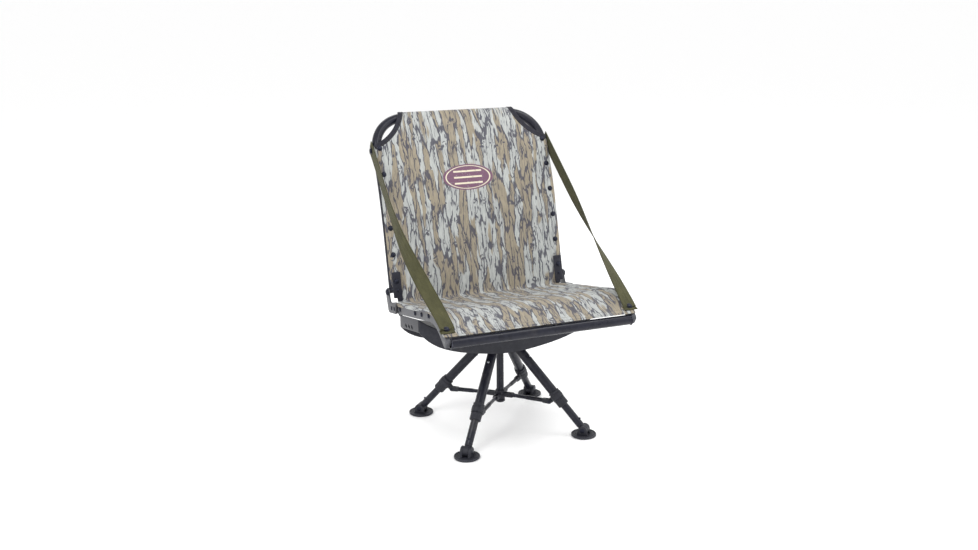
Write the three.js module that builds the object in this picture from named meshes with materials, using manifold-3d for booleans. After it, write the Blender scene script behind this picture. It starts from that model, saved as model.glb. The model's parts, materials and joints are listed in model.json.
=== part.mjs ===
// A swivel chair for a hunting blind: a sling seat and a folding sling back on a steel frame, turning on
// a four-legged base whose legs fold like an umbrella. Millimetres, +Z up. The chair faces -Y and the
// origin is on the ground, in the middle of the chair's outline.
import * as THREE from "three";
import { mergeVertices } from "three/addons/utils/BufferGeometryUtils.js";
import Module from "manifold-3d";

const wasm = await Module();
wasm.setup();

// ---------------------------------------------------------------- driving dimensions

const GAP = 0.3; // clearance between touching pieces
const SIDES = 12; // facets round a round piece
const BOLT_SIDES = 10;

// Swivel axis, behind which the back leans out further than the seat reaches forward
const AXIS_Y = -14.6;
const BASE_TURN = THREE.MathUtils.degToRad(1.9); // how far the base is turned on the swivel

// Base
const LEG_ANGLE = THREE.MathUtils.degToRad(41.9); // of an open leg, from the vertical
const LEG_PIVOT = { r: 45, z: 233.2 };
const UPPER_TUBE = { radius: 12.7, wall: 1.5, from: 14, to: 176 };
const LOWER_TUBE = { radius: 10, wall: 1.5, from: 60, to: 273 };
const COLLAR = { radius: 16.4, from: 160, to: 185.5 };
const LOCK_RING = { radius: 15, from: 186, to: 206 };
const EAR = { reach: 26.7, along: 175.1, thickness: 6, radius: 6.5 };
const KNUCKLE = { radius: 13, half: 7.5, cheek: 7, along: 290, pin: 4 };
const STEM = { radius: 8.1, from: 246, neck: 7 };
const BUTTON = { radius: 3, along: 260, from: 5, to: 13.5 };
const PAD = { radius: 33.5, thickness: 4, rim: 2.5 };
const TONGUE = { radius: 11, thickness: 16 };
const PIN_RADIUS = 3.7;

const HUB = { radius: 60, bottom: 250, top: 258, boss: 15, bossBottom: 238 };
const HUB_EAR = { thickness: 5, radius: 12 };
const POST = { radius: 10, wall: 1.5, bottom: 74, top: 249.6 };
const POST_CAP = { radius: 13, bottom: 67 };
const SLIDER = { radius: 12.6, bottom: 75.5, top: 101, pinR: 35, pinZ: 88.5, lug: 3, lugRadius: 5.5 };
const BRACE = { radius: 5.8, tongue: 7, tongueLength: 38, eye: 4.6, fork: 3, forkRadius: 6.2 };

// Swivel bearing
const BEARING_LOWER = { radius: 52, bottom: 258.3, top: 264.3, spindle: 18, spindleTop: 276 };
const BEARING_UPPER = { radius: 56, bottom: 264.7, step: 271, neck: 34, top: 278.6 };

// Seat frame
const RAIL = { outer: 253.5, width: 12, height: 28, wall: 2 };
const RAIL_STEPS = 16;
const RAIL_LINE = [
  [142, 324],
  [40, 344.4],
  [-70, 366.4],
  [-130, 379],
  [-177, 388],
  [-222, 384.5],
  [-257, 368],
  [-296, 342],
];
const TUBE_RADIUS = 12.7;
const TUBE_WALL = 1.5;
const FRONT_TUBE = { y: -285, z: 351 };
const REAR_TUBE = { y: 122, z: 317, radius: 11 };
const EAR_PLATE = { inner: 256.8, outer: 260.6, radius: 11.5 };

// Cross cradle, an inverted channel that carries the seat on the swivel
const CRADLE = { halfLength: 253, halfWidth: 80, sheet: 2.5, slope: 0.2 };
const CRADLE_STEPS = 22;
const CRADLE_BOTTOM = [
  [253, 305],
  [238, 287],
  [215, 270],
  [180, 255],
  [113, 241.5],
  [0, 231.5],
];
const CRADLE_TOP = [
  [253, 336.5],
  [238, 327],
  [215, 316],
  [180, 304.5],
  [113, 291],
  [0, 281.5],
];
const CRADLE_SLOT = { length: 13, height: 10, pitch: 25, tilt: 0.35, z: 312 };

// Back
const HINGE = { y: 158.5, z: 364 };
const BACK_HALF = 243.5; // from the middle to the centre line of a side tube
const BACK_LEAN = THREE.MathUtils.degToRad(13.8);
const BACK_STRAIGHT = 170; // the side tube runs straight this far, then curves back
const BACK_BEND = 0.0011; // radians per millimetre
const BACK_LENGTH = 476;
const BACK_CORNER = 90;
const BACK_STEPS = 42;
const FABRIC = 2.4;
const BACK_CLOTH = { half: 248.5, from: -20, to: 487, front: 14.4, cutX: 291, cutS: 524, cutRadius: 133 };
const PLATE = { inner: 226.5, outer: 250.5, from: -18, to: 52, thickness: 3, front: 18 };
const PLATE_TONGUE = { outer: 240.8, from: -26 };
const SEAT_CLOTH = [
  [126, 339],
  [60, 352],
  [-20, 367.5],
  [-100, 385],
  [-150, 395],
  [-185, 398.5],
  [-225, 395],
  [-262, 381],
  [-290, 368.5],
];
const SEAT_CLOTH_HALF = 240.6;

// Straps and bolts
const STRAP = { width: 36, thickness: 1.8, segments: 20 };
const STRAP_TOP = { x: 258.4, s: 385, over: 11 };
const STRAP_FOOT = { x: 244.5, y: -268, z: 381, over: 15 };
const BOLT = { shank: 3, head: 7.5, headHeight: 4.2 };
const PIVOT_BOLT = { shank: 4, head: 9, headHeight: 5, nut: 7.5 };

// ---------------------------------------------------------------- materials

const surface = (color, roughness, metalness) =>
  new THREE.MeshStandardMaterial({ color, roughness, metalness });

const COATED = () => surface(0x2b2d35, 0.45, 0.4);
const RAIL_GREY = () => surface(0x55565c, 0.5, 0.4);
const CRADLE_GREY = () => surface(0x3a3b40, 0.5, 0.4);
const BLACK_PLASTIC = () => surface(0x1d1e22, 0.55, 0);
const DARK_STEEL = () => surface(0x202126, 0.35, 0.8);
const BARK_CLOTH = () => surface(0x8f8876, 0.9, 0);
const OLIVE_WEBBING = () => surface(0x55562f, 0.85, 0);

// ---------------------------------------------------------------- solids

const solidFrom = (geometry) => {
  const bare = geometry.clone();
  bare.deleteAttribute("normal");
  bare.deleteAttribute("uv");
  const merged = mergeVertices(bare, 1e-4);
  return new wasm.Manifold(
    new wasm.Mesh({
      numProp: 3,
      vertProperties: new Float32Array(merged.attributes.position.array),
      triVerts: new Uint32Array(merged.index.array),
    }),
  );
};

const geometryFrom = (solid) => {
  const mesh = solid.getMesh();
  const geometry = new THREE.BufferGeometry();
  geometry.setAttribute("position", new THREE.BufferAttribute(mesh.vertProperties, 3));
  geometry.setIndex(new THREE.BufferAttribute(mesh.triVerts, 1));
  const faceted = geometry.toNonIndexed();
  faceted.computeVertexNormals();
  return faceted;
};

const join = (...pieces) =>
  geometryFrom(pieces.map(solidFrom).reduce((whole, piece) => whole.add(piece)));

const cut = (body, ...tools) =>
  geometryFrom(tools.map(solidFrom).reduce((whole, tool) => whole.subtract(tool), solidFrom(body)));

const piece = (name, geometry, material) => {
  const mesh = new THREE.Mesh(geometry, material);
  mesh.name = name;
  return mesh;
};

const box = (x0, x1, y0, y1, z0, z1) => {
  const block = new THREE.BoxGeometry(x1 - x0, y1 - y0, z1 - z0);
  return block.translate((x0 + x1) / 2, (y0 + y1) / 2, (z0 + z1) / 2);
};

// Round bars along each axis, from one end to the other
const barZ = (radius, from, to, x = 0, y = 0) =>
  new THREE.CylinderGeometry(radius, radius, to - from, SIDES)
    .rotateX(Math.PI / 2)
    .translate(x, y, (from + to) / 2);

const barX = (radius, from, to, y = 0, z = 0) =>
  new THREE.CylinderGeometry(radius, radius, to - from, SIDES)
    .rotateZ(Math.PI / 2)
    .translate((from + to) / 2, y, z);

const barY = (radius, from, to, x = 0, z = 0) =>
  new THREE.CylinderGeometry(radius, radius, to - from, SIDES).translate(x, (from + to) / 2, z);

// A body turned about Z from a closed outline of [radius, z] pairs
const turned = (outline, sides = 18) => {
  const points = [...outline, outline[0]].map(([r, z]) => new THREE.Vector2(r, z));
  return new THREE.LatheGeometry(points, sides).rotateX(Math.PI / 2);
};

// The outline runs anticlockwise seen with the axis on its left, so that the faces point out
const sleeve = (inner, outer, from, to, sides = SIDES) =>
  turned(
    [
      [inner, from],
      [outer, from],
      [outer, to],
      [inner, to],
    ],
    sides,
  );

const ring = (radius, hole = 0) => {
  const shape = new THREE.Shape().absarc(0, 0, radius, 0, 2 * Math.PI);
  if (hole > 0) shape.holes.push(new THREE.Path().absarc(0, 0, hole, 0, 2 * Math.PI, true));
  return shape;
};

const alongCurve = (shape, curve, steps, curveSegments = 3) =>
  new THREE.ExtrudeGeometry(shape, { extrudePath: curve, steps, curveSegments });

// A plate from an outline of [y, z] pairs, standing between two values of x
const uprightPlate = (shape, x0, x1) =>
  new THREE.ExtrudeGeometry(shape, { depth: x1 - x0, bevelEnabled: false, curveSegments: 8 })
    .rotateX(Math.PI / 2)
    .rotateZ(Math.PI / 2)
    .translate(x0, 0, 0);

const mirrored = (side, geometry) => (side > 0 ? geometry : flipX(geometry));

function flipX(geometry) {
  const flipped = (geometry.index ? geometry.toNonIndexed() : geometry.clone()).scale(-1, 1, 1);
  const position = flipped.attributes.position;
  for (let i = 0; i < position.count; i += 3) {
    const [x, y, z] = [position.getX(i), position.getY(i), position.getZ(i)];
    position.setXYZ(i, position.getX(i + 1), position.getY(i + 1), position.getZ(i + 1));
    position.setXYZ(i + 1, x, y, z);
  }
  flipped.computeVertexNormals();
  return flipped;
}

// ---------------------------------------------------------------- base

function makeHub() {
  const { r, z } = LEG_PIVOT;
  const inner = TONGUE.thickness / 2 + GAP;
  const outer = inner + HUB_EAR.thickness;
  const parts = [barZ(HUB.radius, HUB.bottom, HUB.top), barZ(HUB.boss, HUB.bossBottom, HUB.bottom + 1)];
  const holes = [barZ(POST.radius + GAP, HUB.bossBottom - 1, HUB.bottom)];
  for (let leg = 0; leg < 4; leg += 1) {
    const turn = (leg * Math.PI) / 2;
    for (const [y0, y1] of [
      [inner, outer],
      [-outer, -inner],
    ]) {
      parts.push(barY(HUB_EAR.radius, y0, y1, r, z).rotateZ(turn));
      parts.push(box(r - HUB_EAR.radius, r + HUB_EAR.radius, y0, y1, z, HUB.bottom + 1).rotateZ(turn));
    }
    holes.push(barY(PIN_RADIUS + GAP, -outer - 1, outer + 1, r, z).rotateZ(turn));
  }
  return cut(join(...parts), ...holes);
}

function makeSlider() {
  const parts = [barZ(SLIDER.radius, SLIDER.bottom, SLIDER.top)];
  const inner = BRACE.tongue / 2 + 0.5;
  for (let leg = 0; leg < 4; leg += 1) {
    const turn = (leg * Math.PI) / 2;
    for (const [y0, y1] of [
      [inner, inner + SLIDER.lug],
      [-inner - SLIDER.lug, -inner],
    ]) {
      const { pinR, pinZ, lugRadius } = SLIDER;
      parts.push(barY(lugRadius, y0, y1, pinR, pinZ).rotateZ(turn));
      parts.push(box(8, pinR, y0, y1, pinZ - lugRadius, pinZ + lugRadius).rotateZ(turn));
    }
  }
  const bore = barZ(POST.radius + GAP, SLIDER.bottom - 1, SLIDER.top + 1);
  return cut(join(...parts), bore);
}

// Leg pieces are made in the leg's own frame: +Z down the leg from its pivot, +X to the inside
function makeUpperLeg() {
  const { radius, wall, from, to } = UPPER_TUBE;
  const half = TONGUE.thickness / 2;
  const tongue = join(
    barY(TONGUE.radius, -half, half),
    box(-TONGUE.radius, TONGUE.radius, -half, half, 0, from + 6),
    sleeve(radius - wall, radius, from, to),
    barZ(radius - 0.4, from, from + 4),
  );
  return cut(tongue, barY(PIN_RADIUS + GAP, -half - 1, half + 1));
}

function makeCollar() {
  const { reach, along, thickness, radius } = EAR;
  const tubeHole = barZ(UPPER_TUBE.radius + GAP, COLLAR.from - 1, UPPER_TUBE.to + GAP);
  const lowerHole = barZ(LOWER_TUBE.radius + GAP, UPPER_TUBE.to - 1, COLLAR.to + 1);
  const body = join(
    barZ(COLLAR.radius, COLLAR.from, COLLAR.to),
    box(COLLAR.radius - 2, reach, -thickness / 2, thickness / 2, along - radius, along + radius),
    barY(radius, -thickness / 2, thickness / 2, reach, along),
  );
  return cut(body, tubeHole, lowerHole, barY(2.9, -thickness, thickness, reach, along));
}

function makeLowerLeg() {
  const { radius, wall, from, to } = LOWER_TUBE;
  const buttonHole = barX(BUTTON.radius + GAP, -radius - 1, 0, 0, BUTTON.along);
  return cut(sleeve(radius - wall, radius, from, to), buttonHole);
}

function makeFootStem() {
  const { radius, half, along, pin } = KNUCKLE;
  const body = join(
    barZ(STEM.radius, STEM.from, LOWER_TUBE.to + 2),
    box(-STEM.neck, STEM.neck, -STEM.neck, STEM.neck, LOWER_TUBE.to, along),
    barY(radius, -half, half, 0, along),
  );
  const buttonHole = barX(BUTTON.radius + GAP, -STEM.radius - 1, -1.5, 0, BUTTON.along);
  return cut(body, buttonHole, barY(pin + GAP, -half - 1, half + 1, 0, along));
}

// A disc with two round cheeks and the pin between them, on which the knuckle turns
function makePad() {
  const { radius, thickness, rim } = PAD;
  const axis = LEG_PIVOT.z - Math.cos(LEG_ANGLE) * KNUCKLE.along;
  const inner = KNUCKLE.half + GAP;
  const outer = inner + KNUCKLE.cheek;
  const disc = turned([
    [0, 0],
    [radius, 0],
    [radius, thickness + rim],
    [radius - 2.5, thickness + rim],
    [radius - 3.5, thickness],
    [0, thickness],
  ]);
  const parts = [disc, barY(KNUCKLE.pin, -outer + 1, outer - 1, 0, axis)];
  for (const [y0, y1] of [
    [inner, outer],
    [-outer, -inner],
  ]) {
    parts.push(barY(KNUCKLE.radius, y0, y1, 0, axis));
    parts.push(box(-KNUCKLE.radius, KNUCKLE.radius, y0, y1, thickness - 1, axis));
  }
  return join(...parts);
}

// A brace, in the leg's plane: x outwards and z up, between its two pins
function makeBrace(outerPin, innerPin) {
  const length = innerPin.distanceTo(outerPin);
  const inside = BRACE.tongue / 2;
  const forkInner = EAR.thickness / 2 + 0.4;
  const forkOuter = forkInner + BRACE.fork;
  const parts = [
    barY(BRACE.eye, -inside, inside, length, 0),
    box(length - BRACE.tongueLength, length, -inside, inside, -BRACE.eye, BRACE.eye),
    barX(BRACE.radius, 17, length - BRACE.tongueLength + 4),
    box(11, 19, -forkOuter, forkOuter, -BRACE.radius, BRACE.radius),
    barY(2.5, -forkOuter, forkOuter),
  ];
  for (const side of [-1, 1]) {
    const [y0, y1] = side > 0 ? [forkInner, forkOuter] : [-forkOuter, -forkInner];
    parts.push(barY(BRACE.forkRadius, y0, y1));
    parts.push(box(0, 12, y0, y1, -BRACE.radius, BRACE.radius));
  }
  const lean = Math.atan2(innerPin.y - outerPin.y, innerPin.x - outerPin.x);
  return join(...parts).rotateY(-lean).translate(outerPin.x, 0, outerPin.y);
}

function makeLeg(number, base) {
  const plane = new THREE.Group();
  plane.rotation.z = BASE_TURN + ((2 * number - 1) * Math.PI) / 4;
  base.add(plane);

  const leg = new THREE.Group();
  leg.position.set(LEG_PIVOT.r, 0, LEG_PIVOT.z);
  leg.rotation.y = Math.PI - LEG_ANGLE;
  plane.add(leg);

  const name = (word) => `${word}_${number}`;
  const pinHalf = TONGUE.thickness / 2 + GAP + HUB_EAR.thickness + 2;
  const ringBore = LOWER_TUBE.radius / Math.cos(Math.PI / SIDES) + GAP; // the tube's corners pass its flats
  const lockRing = sleeve(ringBore, LOCK_RING.radius, LOCK_RING.from, LOCK_RING.to);
  const button = barX(BUTTON.radius, -BUTTON.to, -BUTTON.from, 0, BUTTON.along);
  leg.add(
    piece(name("leg_pin"), barY(PIN_RADIUS, -pinHalf, pinHalf), DARK_STEEL()),
    piece(name("upper_leg"), makeUpperLeg(), COATED()),
    piece(name("leg_collar"), makeCollar(), BLACK_PLASTIC()),
    piece(name("lock_ring"), lockRing, BLACK_PLASTIC()),
    piece(name("lower_leg"), makeLowerLeg(), COATED()),
    piece(name("foot_stem"), makeFootStem(), BLACK_PLASTIC()),
    piece(name("snap_button"), button, DARK_STEEL()),
  );

  const sin = Math.sin(LEG_ANGLE);
  const cos = Math.cos(LEG_ANGLE);
  const pad = piece(name("foot_pad"), makePad(), BLACK_PLASTIC());
  pad.position.x = LEG_PIVOT.r + sin * KNUCKLE.along;
  plane.add(pad);

  const outerPin = new THREE.Vector2(
    LEG_PIVOT.r + sin * EAR.along - cos * EAR.reach,
    LEG_PIVOT.z - cos * EAR.along - sin * EAR.reach,
  );
  const innerPin = new THREE.Vector2(SLIDER.pinR, SLIDER.pinZ);
  plane.add(piece(name("brace"), makeBrace(outerPin, innerPin), COATED()));
}

function makePostCap() {
  const plug = POST.radius - POST.wall - GAP;
  return join(
    barZ(POST_CAP.radius, POST_CAP.bottom, POST.bottom - GAP),
    barZ(plug, POST_CAP.bottom + 2, POST.bottom + 10),
  );
}

function makeBase() {
  const base = new THREE.Group();
  const turnedBase = new THREE.Group();
  turnedBase.rotation.z = BASE_TURN + Math.PI / 4;
  turnedBase.add(
    piece("leg_hub", makeHub(), CRADLE_GREY()),
    piece("brace_slider", makeSlider(), BLACK_PLASTIC()),
    piece("centre_post", sleeve(POST.radius - POST.wall, POST.radius, POST.bottom, POST.top), COATED()),
    piece("post_cap", makePostCap(), BLACK_PLASTIC()),
    piece(
      "bearing_lower",
      join(
        barZ(BEARING_LOWER.radius, BEARING_LOWER.bottom, BEARING_LOWER.top),
        barZ(BEARING_LOWER.spindle, BEARING_LOWER.bottom + 1, BEARING_LOWER.spindleTop),
      ),
      DARK_STEEL(),
    ),
  );
  base.add(turnedBase);
  for (let number = 1; number <= 4; number += 1) makeLeg(number, base);
  return base;
}

// ---------------------------------------------------------------- seat

const railCurve = (x) => new THREE.CatmullRomCurve3(RAIL_LINE.map(([y, z]) => new THREE.Vector3(x, y, z)));

const rectangle = (width, height) =>
  new THREE.Shape()
    .moveTo(-width / 2, -height / 2)
    .lineTo(width / 2, -height / 2)
    .lineTo(width / 2, height / 2)
    .lineTo(-width / 2, height / 2)
    .closePath();

function makeEarPlate() {
  const { y, z } = HINGE;
  const outline = new THREE.Shape()
    .moveTo(92, 320)
    .lineTo(150, 309)
    .lineTo(160, 313)
    .lineTo(y + 17, z - 16)
    .lineTo(y + EAR_PLATE.radius, z)
    .absarc(y, z, EAR_PLATE.radius, 0, Math.PI)
    .lineTo(y - EAR_PLATE.radius, z - 8)
    .lineTo(138, 341)
    .lineTo(92, 350)
    .closePath();
  const spacer = box(RAIL.outer - 1, EAR_PLATE.inner + 1, 96, 136, 322, 338);
  return join(uprightPlate(outline, EAR_PLATE.inner, EAR_PLATE.outer), spacer);
}

function makeRail() {
  const { outer, width, height, wall } = RAIL;
  const section = rectangle(width, height);
  section.holes.push(rectangle(width - 2 * wall, height - 2 * wall));
  const bar = alongCurve(section, railCurve(outer - width / 2), RAIL_STEPS);
  const pivotHole = barX(PIVOT_BOLT.shank + 0.4, EAR_PLATE.inner - 2, EAR_PLATE.outer + 2, HINGE.y, HINGE.z);
  return cut(join(bar, makeEarPlate()), pivotHole, strapFootBolt(0.4));
}

// The channel's outline seen from the front, from its bottom line to its top line
function cradleOutline(bottom, top, halfLength) {
  const scale = halfLength / CRADLE.halfLength;
  const lower = [...bottom, ...bottom.slice(0, -1).reverse().map(([x, z]) => [-x, z])];
  const upper = [...top, ...top.slice(0, -1).reverse().map(([x, z]) => [-x, z])].reverse();
  const shape = new THREE.Shape();
  const curveOf = (line) => new THREE.SplineCurve(line.map(([x, z]) => new THREE.Vector2(x * scale, z)));
  const points = [...curveOf(lower).getPoints(CRADLE_STEPS), ...curveOf(upper).getPoints(CRADLE_STEPS)];
  return shape.setFromPoints(points);
}

// Both ends of the channel follow the slope of the rails, and its middle is level
function followRails(geometry) {
  const position = geometry.attributes.position;
  for (let i = 0; i < position.count; i += 1) {
    const share = (position.getX(i) / CRADLE.halfLength) ** 2;
    position.setZ(i, position.getZ(i) - CRADLE.slope * position.getY(i) * share);
  }
  return geometry;
}

function channelBlock(outline, halfWidth) {
  const block = new THREE.ExtrudeGeometry(outline, { depth: 2 * halfWidth, bevelEnabled: false });
  return followRails(block.rotateX(Math.PI / 2).translate(0, halfWidth, 0));
}

function makeCradle() {
  const { halfLength, halfWidth, sheet } = CRADLE;
  const lowered = CRADLE_BOTTOM.map(([x, z]) => [x, z - 15]);
  const ceiling = CRADLE_TOP.map(([x, z]) => [x, z - sheet]);
  const outside = channelBlock(cradleOutline(CRADLE_BOTTOM, CRADLE_TOP, halfLength), halfWidth);
  const inside = channelBlock(cradleOutline(lowered, ceiling, halfLength - sheet), halfWidth - sheet);
  const slots = [];
  for (const side of [-1, 1]) {
    for (const place of [-1, 0, 1]) {
      const { length, height, pitch, tilt, z } = CRADLE_SLOT;
      const slot = box(-6, 6, -length / 2, length / 2, -height / 2, height / 2).rotateX(tilt);
      slots.push(slot.translate(side * halfLength, place * pitch, z - CRADLE.slope * place * pitch));
    }
  }
  return cut(outside, inside, ...slots);
}

function makeRearTube() {
  const half = RAIL.outer - RAIL.width - GAP;
  return sleeve(REAR_TUBE.radius - TUBE_WALL, REAR_TUBE.radius, -half, half)
    .rotateY(Math.PI / 2)
    .translate(0, REAR_TUBE.y, REAR_TUBE.z);
}

function makeFrontTube() {
  const half = RAIL.outer - RAIL.width - GAP;
  return sleeve(TUBE_RADIUS - TUBE_WALL, TUBE_RADIUS, -half, half)
    .rotateY(Math.PI / 2)
    .translate(0, FRONT_TUBE.y, FRONT_TUBE.z);
}

// A band of even thickness that follows a line of [y, z] pairs
function bandOutline(line, thickness, divisions) {
  const curve = new THREE.SplineCurve(line.map(([y, z]) => new THREE.Vector2(y, z)));
  const upper = [];
  const lower = [];
  for (let i = 0; i <= divisions; i += 1) {
    const point = curve.getPoint(i / divisions);
    const along = curve.getTangent(i / divisions);
    const across = new THREE.Vector2(-along.y, along.x).multiplyScalar(thickness / 2);
    upper.push(point.clone().add(across));
    lower.unshift(point.clone().sub(across));
  }
  return new THREE.Shape().setFromPoints([...upper, ...lower]);
}

function makeSeat() {
  const seat = new THREE.Group();
  seat.add(
    piece(
      "bearing_upper",
      turned([
        [BEARING_LOWER.spindle + 0.4, BEARING_UPPER.bottom],
        [BEARING_UPPER.radius, BEARING_UPPER.bottom],
        [BEARING_UPPER.radius, BEARING_UPPER.step],
        [BEARING_UPPER.neck, BEARING_UPPER.step],
        [BEARING_UPPER.neck, BEARING_UPPER.top],
        [BEARING_LOWER.spindle + 0.4, BEARING_UPPER.top],
      ]),
      DARK_STEEL(),
    ),
    piece("cross_cradle", makeCradle(), CRADLE_GREY()),
    piece("front_tube", makeFrontTube(), COATED()),
    piece("rear_tube", makeRearTube(), COATED()),
    piece(
      "seat_sling",
      uprightPlate(bandOutline(SEAT_CLOTH, FABRIC, 20), -SEAT_CLOTH_HALF, SEAT_CLOTH_HALF),
      BARK_CLOTH(),
    ),
  );
  for (const [word, side] of [
    ["left", 1],
    ["right", -1],
  ]) {
    seat.add(
      piece(`seat_rail_${word}`, mirrored(side, makeRail()), RAIL_GREY()),
      piece(`back_pivot_bolt_${word}`, mirrored(side, makePivotBolt()), DARK_STEEL()),
      piece(`strap_foot_bolt_${word}`, mirrored(side, strapFootBolt(0)), DARK_STEEL()),
    );
  }
  return seat;
}

// ---------------------------------------------------------------- back

// The side view of the back: a point and its lean, a distance s up from the hinge
function backProfile(s) {
  const bent = Math.max(s - BACK_STRAIGHT, 0);
  const straight = s - bent;
  const lean = BACK_LEAN + BACK_BEND * bent;
  const y = HINGE.y + straight * Math.sin(BACK_LEAN) + (Math.cos(BACK_LEAN) - Math.cos(lean)) / BACK_BEND;
  const z = HINGE.z + straight * Math.cos(BACK_LEAN) + (Math.sin(lean) - Math.sin(BACK_LEAN)) / BACK_BEND;
  return { y, z, lean };
}

// A point of the back: x across, s up from the hinge, and a distance in front of the tubes' centre
function onBack(x, s, front) {
  const { y, z, lean } = backProfile(s);
  return new THREE.Vector3(x, y - front * Math.cos(lean), z + front * Math.sin(lean));
}

// The centre line of the back's tube: up one side, round two corners and down the other
class BackLine extends THREE.Curve {
  getPoint(t, target = new THREE.Vector3()) {
    const rise = BACK_LENGTH - BACK_CORNER;
    const quarter = (BACK_CORNER * Math.PI) / 2;
    const top = 2 * (BACK_HALF - BACK_CORNER);
    const total = 2 * (rise + quarter) + top;
    const side = t <= 0.5 ? -1 : 1;
    const gone = Math.min(t, 1 - t) * total;
    if (gone <= rise) return target.copy(onBack(side * BACK_HALF, gone, 0));
    if (gone <= rise + quarter) {
      const angle = (gone - rise) / BACK_CORNER;
      const x = BACK_HALF - BACK_CORNER * (1 - Math.cos(angle));
      return target.copy(onBack(side * x, rise + BACK_CORNER * Math.sin(angle), 0));
    }
    const x = BACK_HALF - BACK_CORNER - (gone - rise - quarter);
    return target.copy(onBack(side * x, BACK_LENGTH, 0));
  }
}

function makeBackFrame() {
  const tube = alongCurve(ring(TUBE_RADIUS, TUBE_RADIUS - TUBE_WALL), new BackLine(), BACK_STEPS);
  const holes = [];
  for (const side of [-1, 1]) {
    const drill = (radius, s) => {
      const { y, z } = backProfile(s);
      const [x0, x1] = side > 0 ? [200, 290] : [-290, -200];
      return barX(radius, x0, x1, y, z);
    };
    holes.push(drill(PIVOT_BOLT.shank + 0.4, 0), drill(BOLT.shank + 0.4, STRAP_TOP.s));
  }
  return cut(tube, ...holes);
}

// Cloth in front of the tubes, its top corners cut away in hollow curves
function makeBackSling() {
  const { half, from, to, front, cutX, cutS, cutRadius } = BACK_CLOTH;
  const sideTop = cutS - Math.sqrt(cutRadius ** 2 - (cutX - half) ** 2);
  const topHalf = cutX - Math.sqrt(cutRadius ** 2 - (cutS - to) ** 2);
  const startAngle = Math.atan2(sideTop - cutS, half - cutX);
  const endAngle = Math.atan2(to - cutS, topHalf - cutX);
  const outline = new THREE.Shape()
    .moveTo(-half, from)
    .lineTo(half, from)
    .lineTo(half, sideTop)
    .absarc(cutX, cutS, cutRadius, startAngle, endAngle, true)
    .absarc(-cutX, cutS, cutRadius, Math.PI - endAngle, Math.PI - startAngle, true)
    .closePath();
  const flat = new THREE.ExtrudeGeometry(outline, { depth: FABRIC, bevelEnabled: false, curveSegments: 6 });
  return bendToBack(sliced(flat, from, to, 12), front);
}

// Cut across into strips, so that a flat body can follow a curve
function sliced(geometry, from, to, strips) {
  const body = solidFrom(geometry);
  let whole = null;
  const wide = 400;
  for (let i = 0; i < strips; i += 1) {
    const s0 = from + ((to - from) * i) / strips;
    const s1 = from + ((to - from) * (i + 1)) / strips;
    const strip = body.intersect(solidFrom(box(-wide, wide, s0, s1, -10, 20)));
    whole = whole ? whole.add(strip) : strip;
  }
  return geometryFrom(whole);
}

function bendToBack(geometry, front) {
  const position = geometry.attributes.position;
  for (let i = 0; i < position.count; i += 1) {
    const point = onBack(position.getX(i), position.getY(i), front + position.getZ(i));
    position.setXYZ(i, point.x, point.y, point.z);
  }
  geometry.computeVertexNormals();
  return geometry;
}

// A strip up the side tube's front, with a narrow tongue that passes inside the rail's end
function makeHingePlate() {
  const { inner, outer, from, to, thickness, front } = PLATE;
  const outline = new THREE.Shape()
    .moveTo(inner, PLATE_TONGUE.from)
    .lineTo(PLATE_TONGUE.outer, PLATE_TONGUE.from)
    .lineTo(PLATE_TONGUE.outer, from)
    .lineTo(outer, from)
    .lineTo(outer, to)
    .lineTo(inner, to)
    .closePath();
  const flat = new THREE.ExtrudeGeometry(outline, { depth: thickness, bevelEnabled: false });
  return bendToBack(flat, front);
}

// ---------------------------------------------------------------- straps and bolts

// A dome-headed bolt along +Y: its head's seat is at 0 and its shank runs to -length
function domeBolt(shank, length, head, headHeight) {
  const points = [[0, -length], [shank, -length], [shank, 0], [head, 0], [head, headHeight * 0.3]];
  const crown = [[head * 0.75, headHeight * 0.8], [head * 0.3, headHeight], [0, headHeight]];
  const outline = [...points, ...crown].map(([r, h]) => new THREE.Vector2(r, h));
  return new THREE.LatheGeometry(outline, BOLT_SIDES);
}

function makePivotBolt() {
  const inner = BACK_HALF - TUBE_RADIUS - 1;
  const { shank, head, headHeight, nut } = PIVOT_BOLT;
  const seat = EAR_PLATE.outer + GAP;
  const bolt = domeBolt(shank, seat - inner + 6, head, headHeight).rotateZ(-Math.PI / 2);
  const hexNut = new THREE.CylinderGeometry(nut, nut, 6, 6).rotateZ(Math.PI / 2);
  hexNut.translate(inner - seat - 3, 0, 0);
  return join(bolt, hexNut).translate(seat, HINGE.y, HINGE.z);
}

function makeStrapTopBolt(extra) {
  const { y, z } = backProfile(STRAP_TOP.s);
  const seat = STRAP_TOP.x + STRAP.thickness / 2 + GAP;
  const bolt = domeBolt(BOLT.shank + extra, seat - BACK_HALF, BOLT.head, BOLT.headHeight);
  return bolt.rotateZ(-Math.PI / 2).translate(seat, y, z);
}

// The strap's foot lies on the rail's front corner, square to this direction
const FOOT_NORMAL = new THREE.Vector3(0, -0.36, 0.93).normalize();

function strapFootBolt(extra) {
  const seat = new THREE.Vector3(STRAP_FOOT.x, STRAP_FOOT.y, STRAP_FOOT.z);
  seat.addScaledVector(FOOT_NORMAL, STRAP.thickness / 2 + GAP);
  const bolt = domeBolt(BOLT.shank + extra, 15, BOLT.head, BOLT.headHeight);
  bolt.applyQuaternion(new THREE.Quaternion().setFromUnitVectors(new THREE.Vector3(0, 1, 0), FOOT_NORMAL));
  return bolt.translate(seat.x, seat.y, seat.z);
}

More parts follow.
